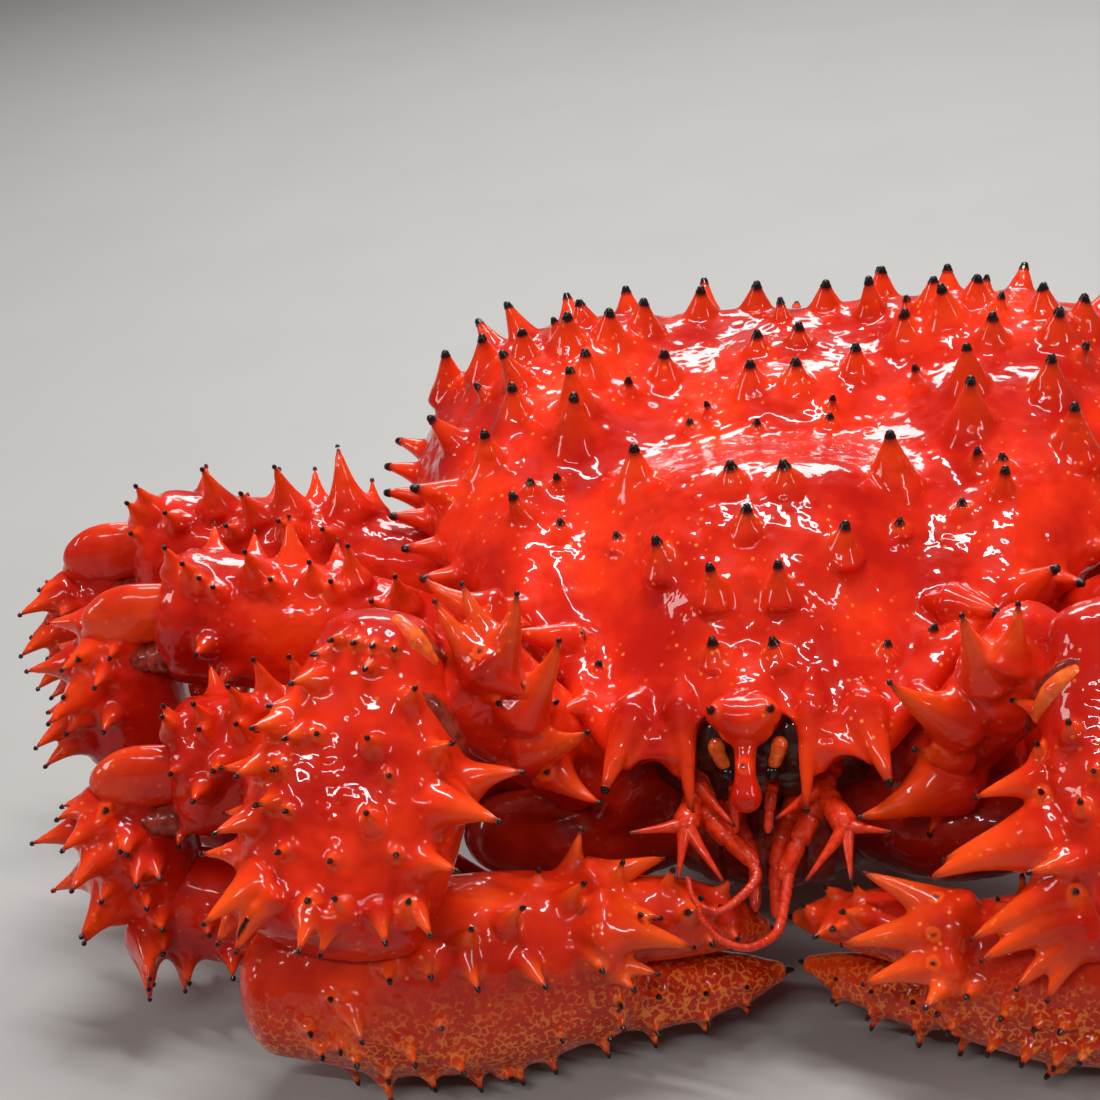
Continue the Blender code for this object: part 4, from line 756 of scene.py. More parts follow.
class Geometry:
    """Points and faces gathered from many closed forms."""

    def __init__(self):
        self.points = []
        self.faces = []
        self.marks = []

    def add(self, rows, mark=None):
        """Add one closed form; mark gives the darkness of each row."""
        starts = []
        for number, row in enumerate(rows):
            starts.append(len(self.points))
            self.points.extend(row)
            self.marks.extend([mark[number] if mark else 0.0] * len(row))
        for number in range(len(rows) - 1):
            here, ahead = starts[number], starts[number + 1]
            count_here, count_ahead = len(rows[number]), len(rows[number + 1])
            for index in range(max(count_here, count_ahead)):
                ring = [here + index % count_here, here + (index + 1) % count_here,
                        ahead + (index + 1) % count_ahead, ahead + index % count_ahead]
                self.faces.append(list(dict.fromkeys(ring)))
        return self

    def mesh(self, name):
        """The forms as a mesh in the frame, in metres."""
        data = bpy.data.meshes.new(name)
        data.from_pydata([point * MM + SHIFT for point in self.points], [], self.faces)
        form = bmesh.new()
        form.from_mesh(data)
        bmesh.ops.recalc_face_normals(form, faces=form.faces)
        form.to_mesh(data)
        form.free()
        return data


def relief(x, y):
    """Height that the swellings of the back add at a place."""
    total = 0.0
    for centre_x, centre_y, radius_x, radius_y, height, steepness in REGIONS:
        for side in ((-1, 1) if centre_x else (1,)):
            across = (x - side * centre_x) / radius_x
            length = (y - centre_y) / radius_y
            total += height * math.exp(-0.5 * (across * across + length * length) ** steepness)
    return total


def back_height(x, y):
    """Height of the back at a place above it."""
    half_width, edge, middle = smooth_between(CARAPACE_STATIONS, y)
    share = min(abs(x) / half_width, 1.0)
    arch = (1.0 - share ** CARAPACE_POWER) ** (1.0 / CARAPACE_POWER)
    fade = min((1.0 - share) * 4.0, 1.0)
    return edge + (middle - edge) * arch + relief(x, y) * fade


def back_normal(x, y):
    """Outward direction of the back."""
    step = 1.0
    slope_x = (back_height(x + step, y) - back_height(x - step, y)) / (2.0 * step)
    slope_y = (back_height(x, y + step) - back_height(x, y - step)) / (2.0 * step)
    return Vector((-slope_x, -slope_y, 1.0)).normalized()


def carapace_underside(y):
    """Height of the flat underside of the back shell."""
    return CARAPACE_FLOOR_FRONT + CARAPACE_FLOOR_RISE * (y - CARAPACE_STATIONS[0][0])


def carapace_rows(across=90, lengths=90):
    """Rings of the back shell from front to rear: an arched top and a flat underside."""
    first = CARAPACE_STATIONS[0][0]
    last = CARAPACE_STATIONS[-1][0]
    rows = []
    for step in range(lengths + 1):
        y = first + (last - first) * (0.5 - 0.5 * math.cos(math.pi * (step / lengths) ** 0.95))
        half_width, edge, _ = smooth_between(CARAPACE_STATIONS, y)
        row = []
        for index in range(across + 1):
            x = half_width * rounded(math.cos(math.pi * index / across), 2.4)
            row.append(Vector((x, y, back_height(x, y))))
        floor = carapace_underside(y)
        middle = 0.5 * (edge + floor)
        for share, height in ((-0.95, middle), (-CARAPACE_FOOT, floor), (CARAPACE_FOOT, floor),
                              (0.95, middle)):
            row.append(Vector((half_width * share, y, height)))
        rows.append(row)
    return closed(rows)


def thorax_rows(sides=40, lengths=30):
    """Rings of the underbody, flat on top against the back shell, with grooves between its plates."""
    first = THORAX_STATIONS[0][0]
    last = THORAX_STATIONS[-1][0]
    plates = 5
    rows = []
    for step in range(lengths + 1):
        y = first + (last - first) * step / lengths
        half_width, low_edge = smooth_between(THORAX_STATIONS, y)
        top = carapace_underside(y) - 0.3
        groove = 1.2 * math.cos(math.pi * plates * step / lengths) ** 12
        rows.append([Vector((half_width * rounded(math.cos(turn), 2.4), y,
                             top + (top - low_edge - groove) * rounded(math.sin(turn), 2.6)))
                     for turn in (math.pi + math.pi * index / sides for index in range(sides + 1))])
    return closed(rows)


def abdomen_limb():
    """The tail, which folds from behind the back shell to under the body."""
    count = len(ABDOMEN_LINE) - 1
    form = [(index / count, thick, width)
            for index, (width, thick) in enumerate(zip(ABDOMEN_HALF_WIDTHS, ABDOMEN_HALF_THICKNESS))]
    return Limb([(0.0, y, z) for y, z in ABDOMEN_LINE], form, (0.0, 0.6, -0.8), (1.0, 0.0, 0.0),
                caps=(2.0, 5.0), power=2.6, plates=7)


class Piece:
    """One plate or segment of the shell: its closed forms, its spines and its finish."""

    def __init__(self, node, forms, finish, slot, voxel, limb=None):
        self.node = node
        self.forms = forms
        self.finish = finish
        self.slot = slot
        self.voxel = voxel
        self.limb = limb
        self.spines = []
        gathered = Geometry()
        for rows in forms:
            gathered.add(rows)
        self.tree = BVHTree.FromPolygons(gathered.points, gathered.faces)
        self.low = Vector([min(point[axis] for point in gathered.points) for axis in range(3)])
        self.high = Vector([max(point[axis] for point in gathered.points) for axis in range(3)])


class Crab:
    """All shell pieces and the rule by which their spines keep clear of each other."""

    def __init__(self):
        self.pieces = {}
        self.random = random.Random(SEED)

    def add(self, node, forms, finish, slot, voxel, limb=None):
        """Note a shell piece."""
        self.pieces[node] = Piece(node, forms, finish, slot, voxel, limb)

    def grow(self, node, root, direction, length, radius=None, bend=0.0, dark=True, sure=False):
        """Add a spine, shortened until it clears the other pieces and the floor."""
        root = Vector(root)
        direction = Vector(direction).normalized()
        radius = radius or 0.7 + (0.38 if "leg" in node else 0.34) * length
        point = BACK_SPINE_POINT if node == "carapace" else SPINE_POINT
        for share in (1.0, 0.85, 0.7, 0.5):
            tip = root + direction * (length * share)
            if sure or self.is_clear(node, root, tip, radius * share):
                spine = Spine(root, tip, radius * (0.35 + 0.65 * share), bend, dark, point)
                _, normal, _, _ = self.pieces[node].tree.find_nearest(root)
                if node != "carapace":
                    spine.mound *= max(spine.heading.dot(normal), 0.0) ** 2
                self.pieces[node].spines.append(spine)
                return

    def fit(self, node, tips):
        """Grow spines on a right limb whose tips lie on pixels of the picture, and their mirror images.

        A row is (x, y, length), and the spine stands up from the surface, or (x, y, length, root x,
        root y), and the spine starts where the picture shows its root.
        """
        limb = self.pieces[node].limb
        right, up, forward = (np.array(axis) for axis in picture_axes())
        eye = np.array(CAMERA_PLACE)
        samples = [limb.at(place, angle) for place in FIT_PLACES for angle in FIT_ANGLES]
        roots = np.array([sample[0] for sample in samples])
        outwards = np.array([sample[1] for sample in samples])
        headings = np.array([sample[2] for sample in samples])
        sight = roots - eye
        sight /= np.linalg.norm(sight, axis=1)[:, None]
        away = np.clip((outwards * sight).sum(1), 0.0, 1.0)
        directions = outwards * math.cos(FIT_LEAN) + headings * math.sin(FIT_LEAN)

        def pixels_off(points, pixel_x, pixel_y):
            offset = points - eye
            depth = offset @ forward
            across = FRAME_PX / 2.0 + FOCAL_PX * (offset @ right) / depth - pixel_x
            rise = FRAME_PX / 2.0 - FOCAL_PX * (offset @ up) / depth - pixel_y
            return np.hypot(across, rise)

        for pixel_x, pixel_y, length, *root_pixel in tips:
            if root_pixel:
                best = int(np.argmin(pixels_off(roots, *root_pixel) + AWAY_ROOT_PX * away))
                root = roots[best]
                shift = right * (pixel_x - FRAME_PX / 2.0) + up * (FRAME_PX / 2.0 - pixel_y)
                ray = forward + shift / FOCAL_PX
                ray /= np.linalg.norm(ray)
                middle = (root - eye) @ ray
                gap = np.linalg.norm(eye + ray * middle - root)
                reach = math.sqrt(max(length ** 2 - gap ** 2, 0.0))
                direction = eye + ray * (middle - reach) - root
                length = float(np.linalg.norm(direction))
                direction /= length
            else:
                off = pixels_off(roots + directions * length, pixel_x, pixel_y)
                best = int(np.argmin(off + AWAY_TIP_PX * away))
                root, direction = roots[best], directions[best]
            bend = MERUS_BEND if "claw_merus" in node else SPINE_BEND
            self.grow(node, root, direction, length, bend=bend, sure=True)
            self.twin(node, best, direction, length)

    def has_room(self, node, root, room):
        """True where no spine of the piece stands nearer than that."""
        return all((root - spine.root).length > room for spine in self.pieces[node].spines)

    def fit_back(self, tips):
        """Grow spines of the back whose tips and roots lie on pixels of the picture, and mirror them."""
        tree = self.pieces["carapace"].tree
        spines = self.pieces["carapace"].spines
        for tip_x, tip_y, root_x, root_y, radius in tips:
            hits = (tree.ray_cast(CAMERA_PLACE, picture_sight(root_x, root_y + step))[0]
                    for step in ROOT_STEPS_PX)
            root = next((hit for hit in hits if hit is not None), None)
            if root is None:
                continue
            sight = picture_sight(tip_x, tip_y)
            middle = (root - CAMERA_PLACE).dot(sight)
            gap = (CAMERA_PLACE + sight * middle - root).length
            if gap > LONGEST_BACK_SPINE:
                continue
            nearer = gap * math.tan(math.acos(BACK_SLANT))
            tip = CAMERA_PLACE + sight * (middle - nearer)
            spines.append(Spine(root, tip, radius * BACK_STOUTNESS, SLIGHT_BEND, True, BACK_SPINE_POINT))
        for spine in list(spines):
            root = Vector((-spine.root.x, spine.root.y, spine.root.z))
            if self.has_room("carapace", root, BACK_ROOM):
                tip = Vector((-spine.tip.x, spine.tip.y, spine.tip.z))
                spines.append(Spine(root, tip, spine.radius, SLIGHT_BEND, True, BACK_SPINE_POINT))

    def twin(self, node, number, direction, length):
        """The same spine on the other side's limb, a little varied."""
        other = node.replace("right", "left")
        if other == node or other not in self.pieces:
            return
        vary = self.random.uniform
        place = float(FIT_PLACES[number // len(FIT_ANGLES)])
        angle = FIT_ANGLES[number % len(FIT_ANGLES)]
        _, heading, up, face, _, _ = self.pieces[node].limb.frame(place)
        shares = [float(Vector(direction).dot(axis)) for axis in (heading, up, face)]
        place = min(1.0, max(0.0, place + vary(-0.02, 0.02)))
        point, _, _ = self.pieces[other].limb.at(place, angle + vary(-5.0, 5.0))
        if any((point - spine.root).length < TWIN_GAP for spine in self.pieces[other].spines):
            return
        _, *axes, _, _ = self.pieces[other].limb.frame(place)
        heading = sum((axis * share for axis, share in zip(axes, shares)), Vector())
        self.grow(other, point, heading, length * vary(0.85, 1.05), bend=SLIGHT_BEND)

    def fill(self, node, sizes, gap):
        """Grow spines where the camera doesn't look; sizes gives lengths round the limb, by angle."""
        piece = self.pieces[node]
        twin = node.replace("left", "right")
        watched = self.pieces[twin].limb
        place = 0.06
        offset = 0.0
        while place <= 0.97:
            _, _, _, _, half_up, half_face = piece.limb.frame(place)
            around = max(5, round(math.pi * (half_up + half_face) / gap))
            for index in range(around):
                angle = -180.0 + 360.0 * (index + offset) / around + self.random.uniform(-8.0, 8.0)
                seen, outward, _ = watched.at(place, angle)
                if outward.dot((seen - CAMERA_PLACE).normalized()) < SEEN_BELOW:
                    continue
                point, outward, heading = piece.limb.at(place, angle)
                if any((point - spine.root).length < gap * 0.8 for spine in piece.spines):
                    continue
                length = np.interp(abs(angle), (0.0, 90.0, 180.0), sizes) * self.random.uniform(0.8, 1.15)
                direction = outward * math.cos(FILL_LEAN) + heading * math.sin(FILL_LEAN)
                self.grow(node, point, direction, float(length), bend=SLIGHT_BEND)
            length_here = (piece.limb.points[-1] - piece.limb.points[0]).length
            place += gap * 0.9 / max(length_here, 1.0)
            offset = 0.5 - offset

    def is_clear(self, node, root, tip, radius):
        """True where a spine stays out of the other pieces and above the floor."""
        if tip.z < 0.2:
            return False
        for name, piece in self.pieces.items():
            if name == node:
                continue
            if any(min(root[axis], tip[axis]) > piece.high[axis] + radius
                   or max(root[axis], tip[axis]) < piece.low[axis] - radius for axis in range(3)):
                continue
            for share in (0.35, 0.6, 0.8, 1.0):
                point = root.lerp(tip, share)
                nearest, normal, _, distance = piece.tree.find_nearest(point)
                if (point - nearest).dot(normal) < 0.0 or distance < radius * (1.0 - share) + 0.3:
                    return False
        return True

    def row(self, node, angle, places, length, radius=None, lean=12.0, limb=None, dark=True):
        """Spines along a limb at one angle; lean tips them towards the limb's end, in degrees."""
        limb = limb or self.pieces[node].limb
        for index, place in enumerate(places):
            size = length[index] if isinstance(length, tuple) else length
            size *= self.random.uniform(0.9, 1.1)
            turn = angle + self.random.uniform(-4.0, 4.0)
            point, outward, heading = limb.at(place, turn)
            tip = math.radians(lean + self.random.uniform(-5.0, 5.0))
            self.grow(node, point, outward * math.cos(tip) + heading * math.sin(tip), size, radius,
                      ROW_BEND, dark)


def cut_hollows(form):
    """A copy of the back shell's form with the hollows of the face cut into it, as points and faces."""
    body = placed("uncut_back", Geometry().add(form).mesh("uncut_back"))
    for number, (centre, radii) in enumerate(FACE_HOLLOWS):
        bpy.ops.mesh.primitive_uv_sphere_add(segments=48, ring_count=32)
        cutter = bpy.context.object
        cutter.name = f"hollow_{number}"
        cutter.location = Vector(centre) * MM + SHIFT
        cutter.scale = Vector(radii) * MM
        modifier = body.modifiers.new("hollow", "BOOLEAN")
        modifier.operation = "DIFFERENCE"
        modifier.solver = "EXACT"
        modifier.object = cutter
    graph = bpy.context.evaluated_depsgraph_get()
    data = bpy.data.meshes.new_from_object(body.evaluated_get(graph))
    for item in [body] + [modifier.object for modifier in body.modifiers]:
        bpy.data.objects.remove(item)
    return data


def voxel_skin(name, geometry, voxel, cut=None):
    """An object with one closed skin round overlapping closed forms and an already cut mesh, if any."""
    data = geometry.mesh(name)
    if cut:
        form = bmesh.new()
        form.from_mesh(data)
        form.from_mesh(cut)
        form.to_mesh(data)
        form.free()
    item = placed(name, data)
    modifier = item.modifiers.new("skin", "REMESH")
    modifier.mode = "VOXEL"
    modifier.voxel_size = voxel * MM
    graph = bpy.context.evaluated_depsgraph_get()
    skin = bpy.data.meshes.new_from_object(item.evaluated_get(graph))
    item.modifiers.clear()
    item.data = skin
    return item


def mesh_points(mesh):
    """The mesh's points as an array."""
    points = np.empty(len(mesh.vertices) * 3)
    mesh.vertices.foreach_get("co", points)
    return points.reshape(-1, 3)


def mesh_normals(mesh):
    """The mesh's point normals as an array."""
    normals = np.empty(len(mesh.vertices) * 3)
    mesh.vertex_normals.foreach_get("vector", normals)
    return normals.reshape(-1, 3)


def neighbour_mean(values, edges, count):
    """For each point, the mean of its neighbours' values."""
    first, second = edges[:, 0], edges[:, 1]
    total = np.empty_like(values)
    for axis in range(values.shape[1]):
        total[:, axis] = (np.bincount(first, values[second, axis], len(values))
                          + np.bincount(second, values[first, axis], len(values)))
    return total / count[:, None]


def spine_marks(points, spines, bead=1.0):
    """For each point, how dark it is as a spine's tip and how high it sits on a spine."""
    dark = np.zeros(len(points))
    rise = np.zeros(len(points))
    for spine in spines:
        root = np.array(spine.root)
        offset = points - root
        near = np.nonzero((offset ** 2).sum(1) < (spine.length * 1.2 + spine.radius) ** 2)[0]
        if not len(near):
            continue
        offset = offset[near]
        share = offset @ np.array(spine.heading) / spine.length
        bow = spine.bend * spine.length * 4.0 * share * (1.0 - share)
        middle = share[:, None] * spine.length * np.array(spine.heading) + bow[:, None] * np.array(spine.side)
        away = np.sqrt(((offset - middle) ** 2).sum(1))
        width = spine.radius * taper(np.clip(1.0 - share, 0.0, 1.0), spine.flare) + 0.9
        inside = 1.0 - eased(0.9, 1.5, away / width)
        rise[near] = np.maximum(rise[near], inside * np.clip(share, 0.0, 1.0))
        if spine.dark:
            start = 1.0 - spine.dark_height(bead) / spine.length
            close = 1.0 - eased(0.25, 0.6, away - width + 0.9)
            dark[near] = np.maximum(dark[near], close * eased(start - DARK_BEFORE, start + DARK_AFTER, share))
    return dark, rise


def raise_mounds(points, spines):
    """Lift the skin smoothly round each spine, which was set in lower by as much."""
    for spine in spines:
        width = 1.7 * spine.radius + 1.6
        heading = np.array(spine.heading)
        offset = points - np.array(spine.root)
        near = np.nonzero((offset ** 2).sum(1) < (spine.length + width) ** 2)[0]
        offset = offset[near]
        height = offset @ heading
        away = np.sqrt(np.maximum((offset ** 2).sum(1) - height ** 2, 0.0))
        lift = spine.mound * np.clip(1.0 - (away / width) ** 2, 0.0, 1.0) ** 2
        lift = lift * eased(-5.0, -2.5, height)
        points[near] += heading * lift[:, None]


def moved_by_mounds(rows, spines):
    """Rings of points, lifted with the skin that they sit on."""
    points = np.array([point for row in rows for point in row])
    raise_mounds(points, spines)
    moved = iter(points)
    return [[Vector(next(moved)) for _ in row] for row in rows]


def paint(mesh, dark, rise, hollow):
    """Store each point's marks where the finishes read them; the hollow mark is painted shade."""
    marks = np.stack([dark, rise, hollow, np.ones(len(dark))], 1)
    layer = mesh.attributes.new("marks", "FLOAT_COLOR", "POINT")
    layer.data.foreach_set("color", marks.astype(np.float32).ravel())


def finish_skin(item, spines, bead):
    """Relax a skin's voxel steps, roughen it a little and paint its marks, among them painted shade in its
    hollows.
    """
    mesh = item.data
    points = mesh_points(mesh) / MM - np.array(SHIFT) / MM
    raise_mounds(points, spines)
    edges = np.empty(len(mesh.edges) * 2, np.int64)
    mesh.edges.foreach_get("vertices", edges)
    edges = edges.reshape(-1, 2)
    count = np.bincount(edges.ravel(), minlength=len(points)).astype(float)
    _, rise = spine_marks(points, spines)
    softness = (1.0 - 0.72 * eased(0.25, 0.8, rise))[:, None]
    for _ in range(RELAX_ROUNDS):
        points += (neighbour_mean(points, edges, count) - points) * softness * RELAX_SHARE
    mesh.vertices.foreach_set("co", ((points * MM) + np.array(SHIFT)).ravel())
    mesh.update()
    normals = mesh_normals(mesh)
    # How concave each point is, smoothed: the shell finishes darken concave places by it as painted shade
    hollow = ((neighbour_mean(points, edges, count) - points) * normals).sum(1)[:, None]
    for _ in range(6):
        hollow = neighbour_mean(hollow, edges, count)
    hollow = eased(0.0, 0.02, hollow[:, 0])
    uneven = np.array([noise.noise(Vector(point) / 6.0) + 0.4 * noise.noise(Vector(point) / 2.4)
                       for point in points])
    points += normals * (uneven * SKIN_WAVES * (1.0 - eased(0.2, 0.5, rise)))[:, None]
    mesh.vertices.foreach_set("co", ((points * MM) + np.array(SHIFT)).ravel())
    dark, rise = spine_marks(points, spines, bead)
    paint(mesh, dark, rise, hollow)
    graph = bpy.context.evaluated_depsgraph_get()
    modifier = item.modifiers.new("fewer", "DECIMATE")
    modifier.ratio = min(KEPT_SHARE, MOST_TRIANGLES / (2.0 * len(mesh.polygons)))
    graph.update()
    item.data = bpy.data.meshes.new_from_object(item.evaluated_get(graph))
    item.modifiers.clear()
    item.data.shade_smooth()


def smooth_piece(name, geometry, material, nodes=()):
    """An object straight from closed forms, without a skin."""
    item = placed(name, geometry.mesh(name))
    dark = np.array(geometry.marks)
    none = np.zeros_like(dark)
    paint(item.data, dark, none, none)
    item.data.shade_smooth()
    item.data.materials.append(material)
    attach(item, "root")
    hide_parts(*nodes)


class Nodes:
    """Short calls for a material's nodes; lengths in its patterns are in metres."""

    def __init__(self, name):
        self.material = bpy.data.materials.new(name)
        self.material.use_nodes = True
        self.tree = self.material.node_tree
        self.shader = self.tree.nodes["Principled BSDF"]
        self.place = self.add("ShaderNodeTexCoord").outputs["Object"]

    def add(self, kind, **settings):
        """A new node with these settings."""
        node = self.tree.nodes.new(kind)
        for name, value in settings.items():
            setattr(node, name, value)
        return node

    def link(self, source, target):
        """Join two sockets."""
        self.tree.links.new(source, target)

    def noise(self, size, detail=3.0, roughness=0.55, warp=0.0):
        """Noise whose features are about size metres across."""
        node = self.add("ShaderNodeTexNoise")
        node.inputs["Scale"].default_value = 1.0 / size
        node.inputs["Detail"].default_value = detail
        node.inputs["Roughness"].default_value = roughness
        node.inputs["Distortion"].default_value = warp
        self.link(self.place, node.inputs["Vector"])
        return node.outputs["Fac"]

    def cells(self, size, feature="F1"):
        """Distances in a cell pattern of about size metres."""
        node = self.add("ShaderNodeTexVoronoi", feature=feature)
        node.inputs["Scale"].default_value = 1.0 / size
        self.link(self.place, node.inputs["Vector"])
        return node.outputs["Distance"]

    def step(self, source, start, end, low_value=0.0, high_value=1.0):
        """Ease from one value to another as the source goes from start to end."""
        node = self.add("ShaderNodeMapRange", interpolation_type="SMOOTHSTEP")
        for name, value in (("From Min", start), ("From Max", end), ("To Min", low_value),
                            ("To Max", high_value)):
            node.inputs[name].default_value = value
        self.link(source, node.inputs["Value"])
        return node.outputs["Result"]

    def maths(self, operation, first, second):
        """One operation on two values; either may be a number."""
        node = self.add("ShaderNodeMath", operation=operation)
        for socket, value in zip(node.inputs, (first, second)):
            if isinstance(value, (int, float)):
                socket.default_value = value
            else:
                self.link(value, socket)
        return node.outputs["Value"]

    def mix(self, share, first, second):
        """Colour between first and second."""
        node = self.add("ShaderNodeMix", data_type="RGBA")
        for socket, value in ((node.inputs["Factor"], share), (node.inputs["A"], first),
                              (node.inputs["B"], second)):
            if isinstance(value, tuple):
                socket.default_value = (*value, 1.0)
            elif isinstance(value, (int, float)):
                socket.default_value = value
            else:
                self.link(value, socket)
        return node.outputs["Result"]

    def bump(self, height, depth, strength):
        """A bump of the given depth in metres."""
        node = self.add("ShaderNodeBump")
        node.inputs["Strength"].default_value = strength
        node.inputs["Distance"].default_value = depth
        self.link(height, node.inputs["Height"])
        return node.outputs["Normal"]

    def marks(self):
        """Darkness, rise and hollow as painted on the skin; the hollow mark is painted shade in concave
        places.
        """
        node = self.add("ShaderNodeAttribute", attribute_name="marks")
        parts = self.add("ShaderNodeSeparateColor")
        self.link(node.outputs["Color"], parts.inputs["Color"])
        return parts.outputs["Red"], parts.outputs["Green"], parts.outputs["Blue"]

    def set(self, **values):
        """Set the shader's own sockets."""
        for name, value in values.items():
            self.shader.inputs[name.replace("_", " ")].default_value = value


def shell_material(name, base, deep, bright, lace_and_low_shade=0.0, dots=1.0, spine_share=0.74):
    """Boiled shell under a film of water."""
    nodes = Nodes(name)
    dark, rise, hollow = nodes.marks()
    broad = nodes.noise(0.017, 3.0)
    fine = nodes.noise(0.0026, 3.0, 0.6)
    colour = nodes.mix(nodes.step(broad, 0.35, 0.68), deep, base)
    colour = nodes.mix(nodes.step(broad, 0.56, 0.76, 0.0, 0.6), colour, bright)
    # Painted shade: concave places are darkened towards deep, which also serves as the shell's own darker
    # mottle above
    colour = nodes.mix(nodes.maths("MULTIPLY", hollow, 0.65), colour, deep)
    colour = nodes.mix(nodes.step(nodes.maths("ADD", rise, nodes.maths("MULTIPLY", fine, 0.25)), 0.12, 0.85,
                                  0.0, spine_share), colour, bright)
    freckle = nodes.step(nodes.cells(0.0019), 0.08, 0.22, 1.0, 0.0)
    patches = nodes.step(nodes.noise(0.009, 2.0), 0.45, 0.60)
    freckle = nodes.maths("MULTIPLY", freckle, nodes.maths("MULTIPLY", patches, 0.85 * dots))
    colour = nodes.mix(freckle, colour, (0.95, 0.27, 0.06))
    if lace_and_low_shade:
        web = nodes.step(nodes.cells(0.0012, "DISTANCE_TO_EDGE"), 0.06, 0.17, 1.0, 0.0)
        web = nodes.maths("MULTIPLY", web, nodes.step(nodes.noise(0.0012, 2.0), 0.44, 0.53))
        # Mask of the palm's lower side, which gets both painted shade and the lace pattern
        low_side = nodes.add("ShaderNodeSeparateXYZ")
        nodes.link(nodes.place, low_side.inputs["Vector"])
        low_shade_and_lace = nodes.step(nodes.maths("ADD", low_side.outputs["Z"], nodes.maths("MULTIPLY", broad, 0.012)),
                           0.017, 0.029, lace_and_low_shade, 0.0)
        # Painted shade: the lower side is darkened to red-brown, less on the spines; the pale web laid over
        # it next is the shell's own lace pattern
        colour = nodes.mix(nodes.maths("MULTIPLY", low_shade_and_lace, nodes.maths("SUBTRACT", 0.8, rise)), colour,
                           (0.44, 0.022, 0.004))
        colour = nodes.mix(nodes.maths("MULTIPLY", web, low_shade_and_lace), colour, (0.88, 0.24, 0.035))
    colour = nodes.mix(dark, colour, DARK_HORN)
    nodes.link(colour, nodes.shader.inputs["Base Color"])
    nodes.link(nodes.step(fine, 0.3, 0.75, 0.30, 0.48), nodes.shader.inputs["Roughness"])
    granules = nodes.step(nodes.cells(0.0036), 0.05, 0.42, 1.0, 0.0)
    film = nodes.maths("ADD", nodes.noise(0.0042, 2.0, 0.5, 0.4), nodes.maths("MULTIPLY", granules, 0.55))
    film = nodes.bump(film, 0.00055, 0.5)
    nodes.link(film, nodes.shader.inputs["Normal"])
    nodes.link(film, nodes.shader.inputs["Coat Normal"])
    nodes.set(Coat_Weight=1.0, Coat_Roughness=0.035, Coat_IOR=1.34, IOR=1.40, Specular_IOR_Level=0.08)
    return nodes.material


def plain_material(name, colour, second, roughness=0.3, coat=1.0, size=0.0012, depth=0.0001):
    """A smooth wet finish with a faint mottle."""
    nodes = Nodes(name)
    dark, _, _ = nodes.marks()
    mottle = nodes.noise(size, 3.0)
    mixed = nodes.mix(nodes.step(mottle, 0.35, 0.65), colour, second)
    nodes.link(nodes.mix(dark, mixed, DARK_HORN), nodes.shader.inputs["Base Color"])
    normal = nodes.bump(mottle, depth, 0.6)
    nodes.link(normal, nodes.shader.inputs["Normal"])
    nodes.link(normal, nodes.shader.inputs["Coat Normal"])
    nodes.set(Roughness=roughness, Coat_Weight=coat, Coat_Roughness=0.04, Coat_IOR=1.36, IOR=1.40,
              Specular_IOR_Level=0.2)
    return nodes.material


def plan_body(crab):
    """The back shell with its snout, the underbody and the tail."""
    forms = [carapace_rows(), tube(ROSTRUM_LINE, ROSTRUM_RADII, sides=28, steps=30),
             tube(BROW_BULB, BROW_BULB_RADII, sides=36, steps=16),
             tube(BROW_ROOT, BROW_ROOT_RADII, sides=36, steps=10)]
    crab.add("carapace", forms, "shell", "shell", VOXEL_FACE)
    crab.add("thorax", [thorax_rows()], "belly", "belly", VOXEL_HIDDEN)
    tail = abdomen_limb()
    crab.add("abdomen", [tail.rings(steps=110)], "belly_shell", "belly", VOXEL_HIDDEN, tail)


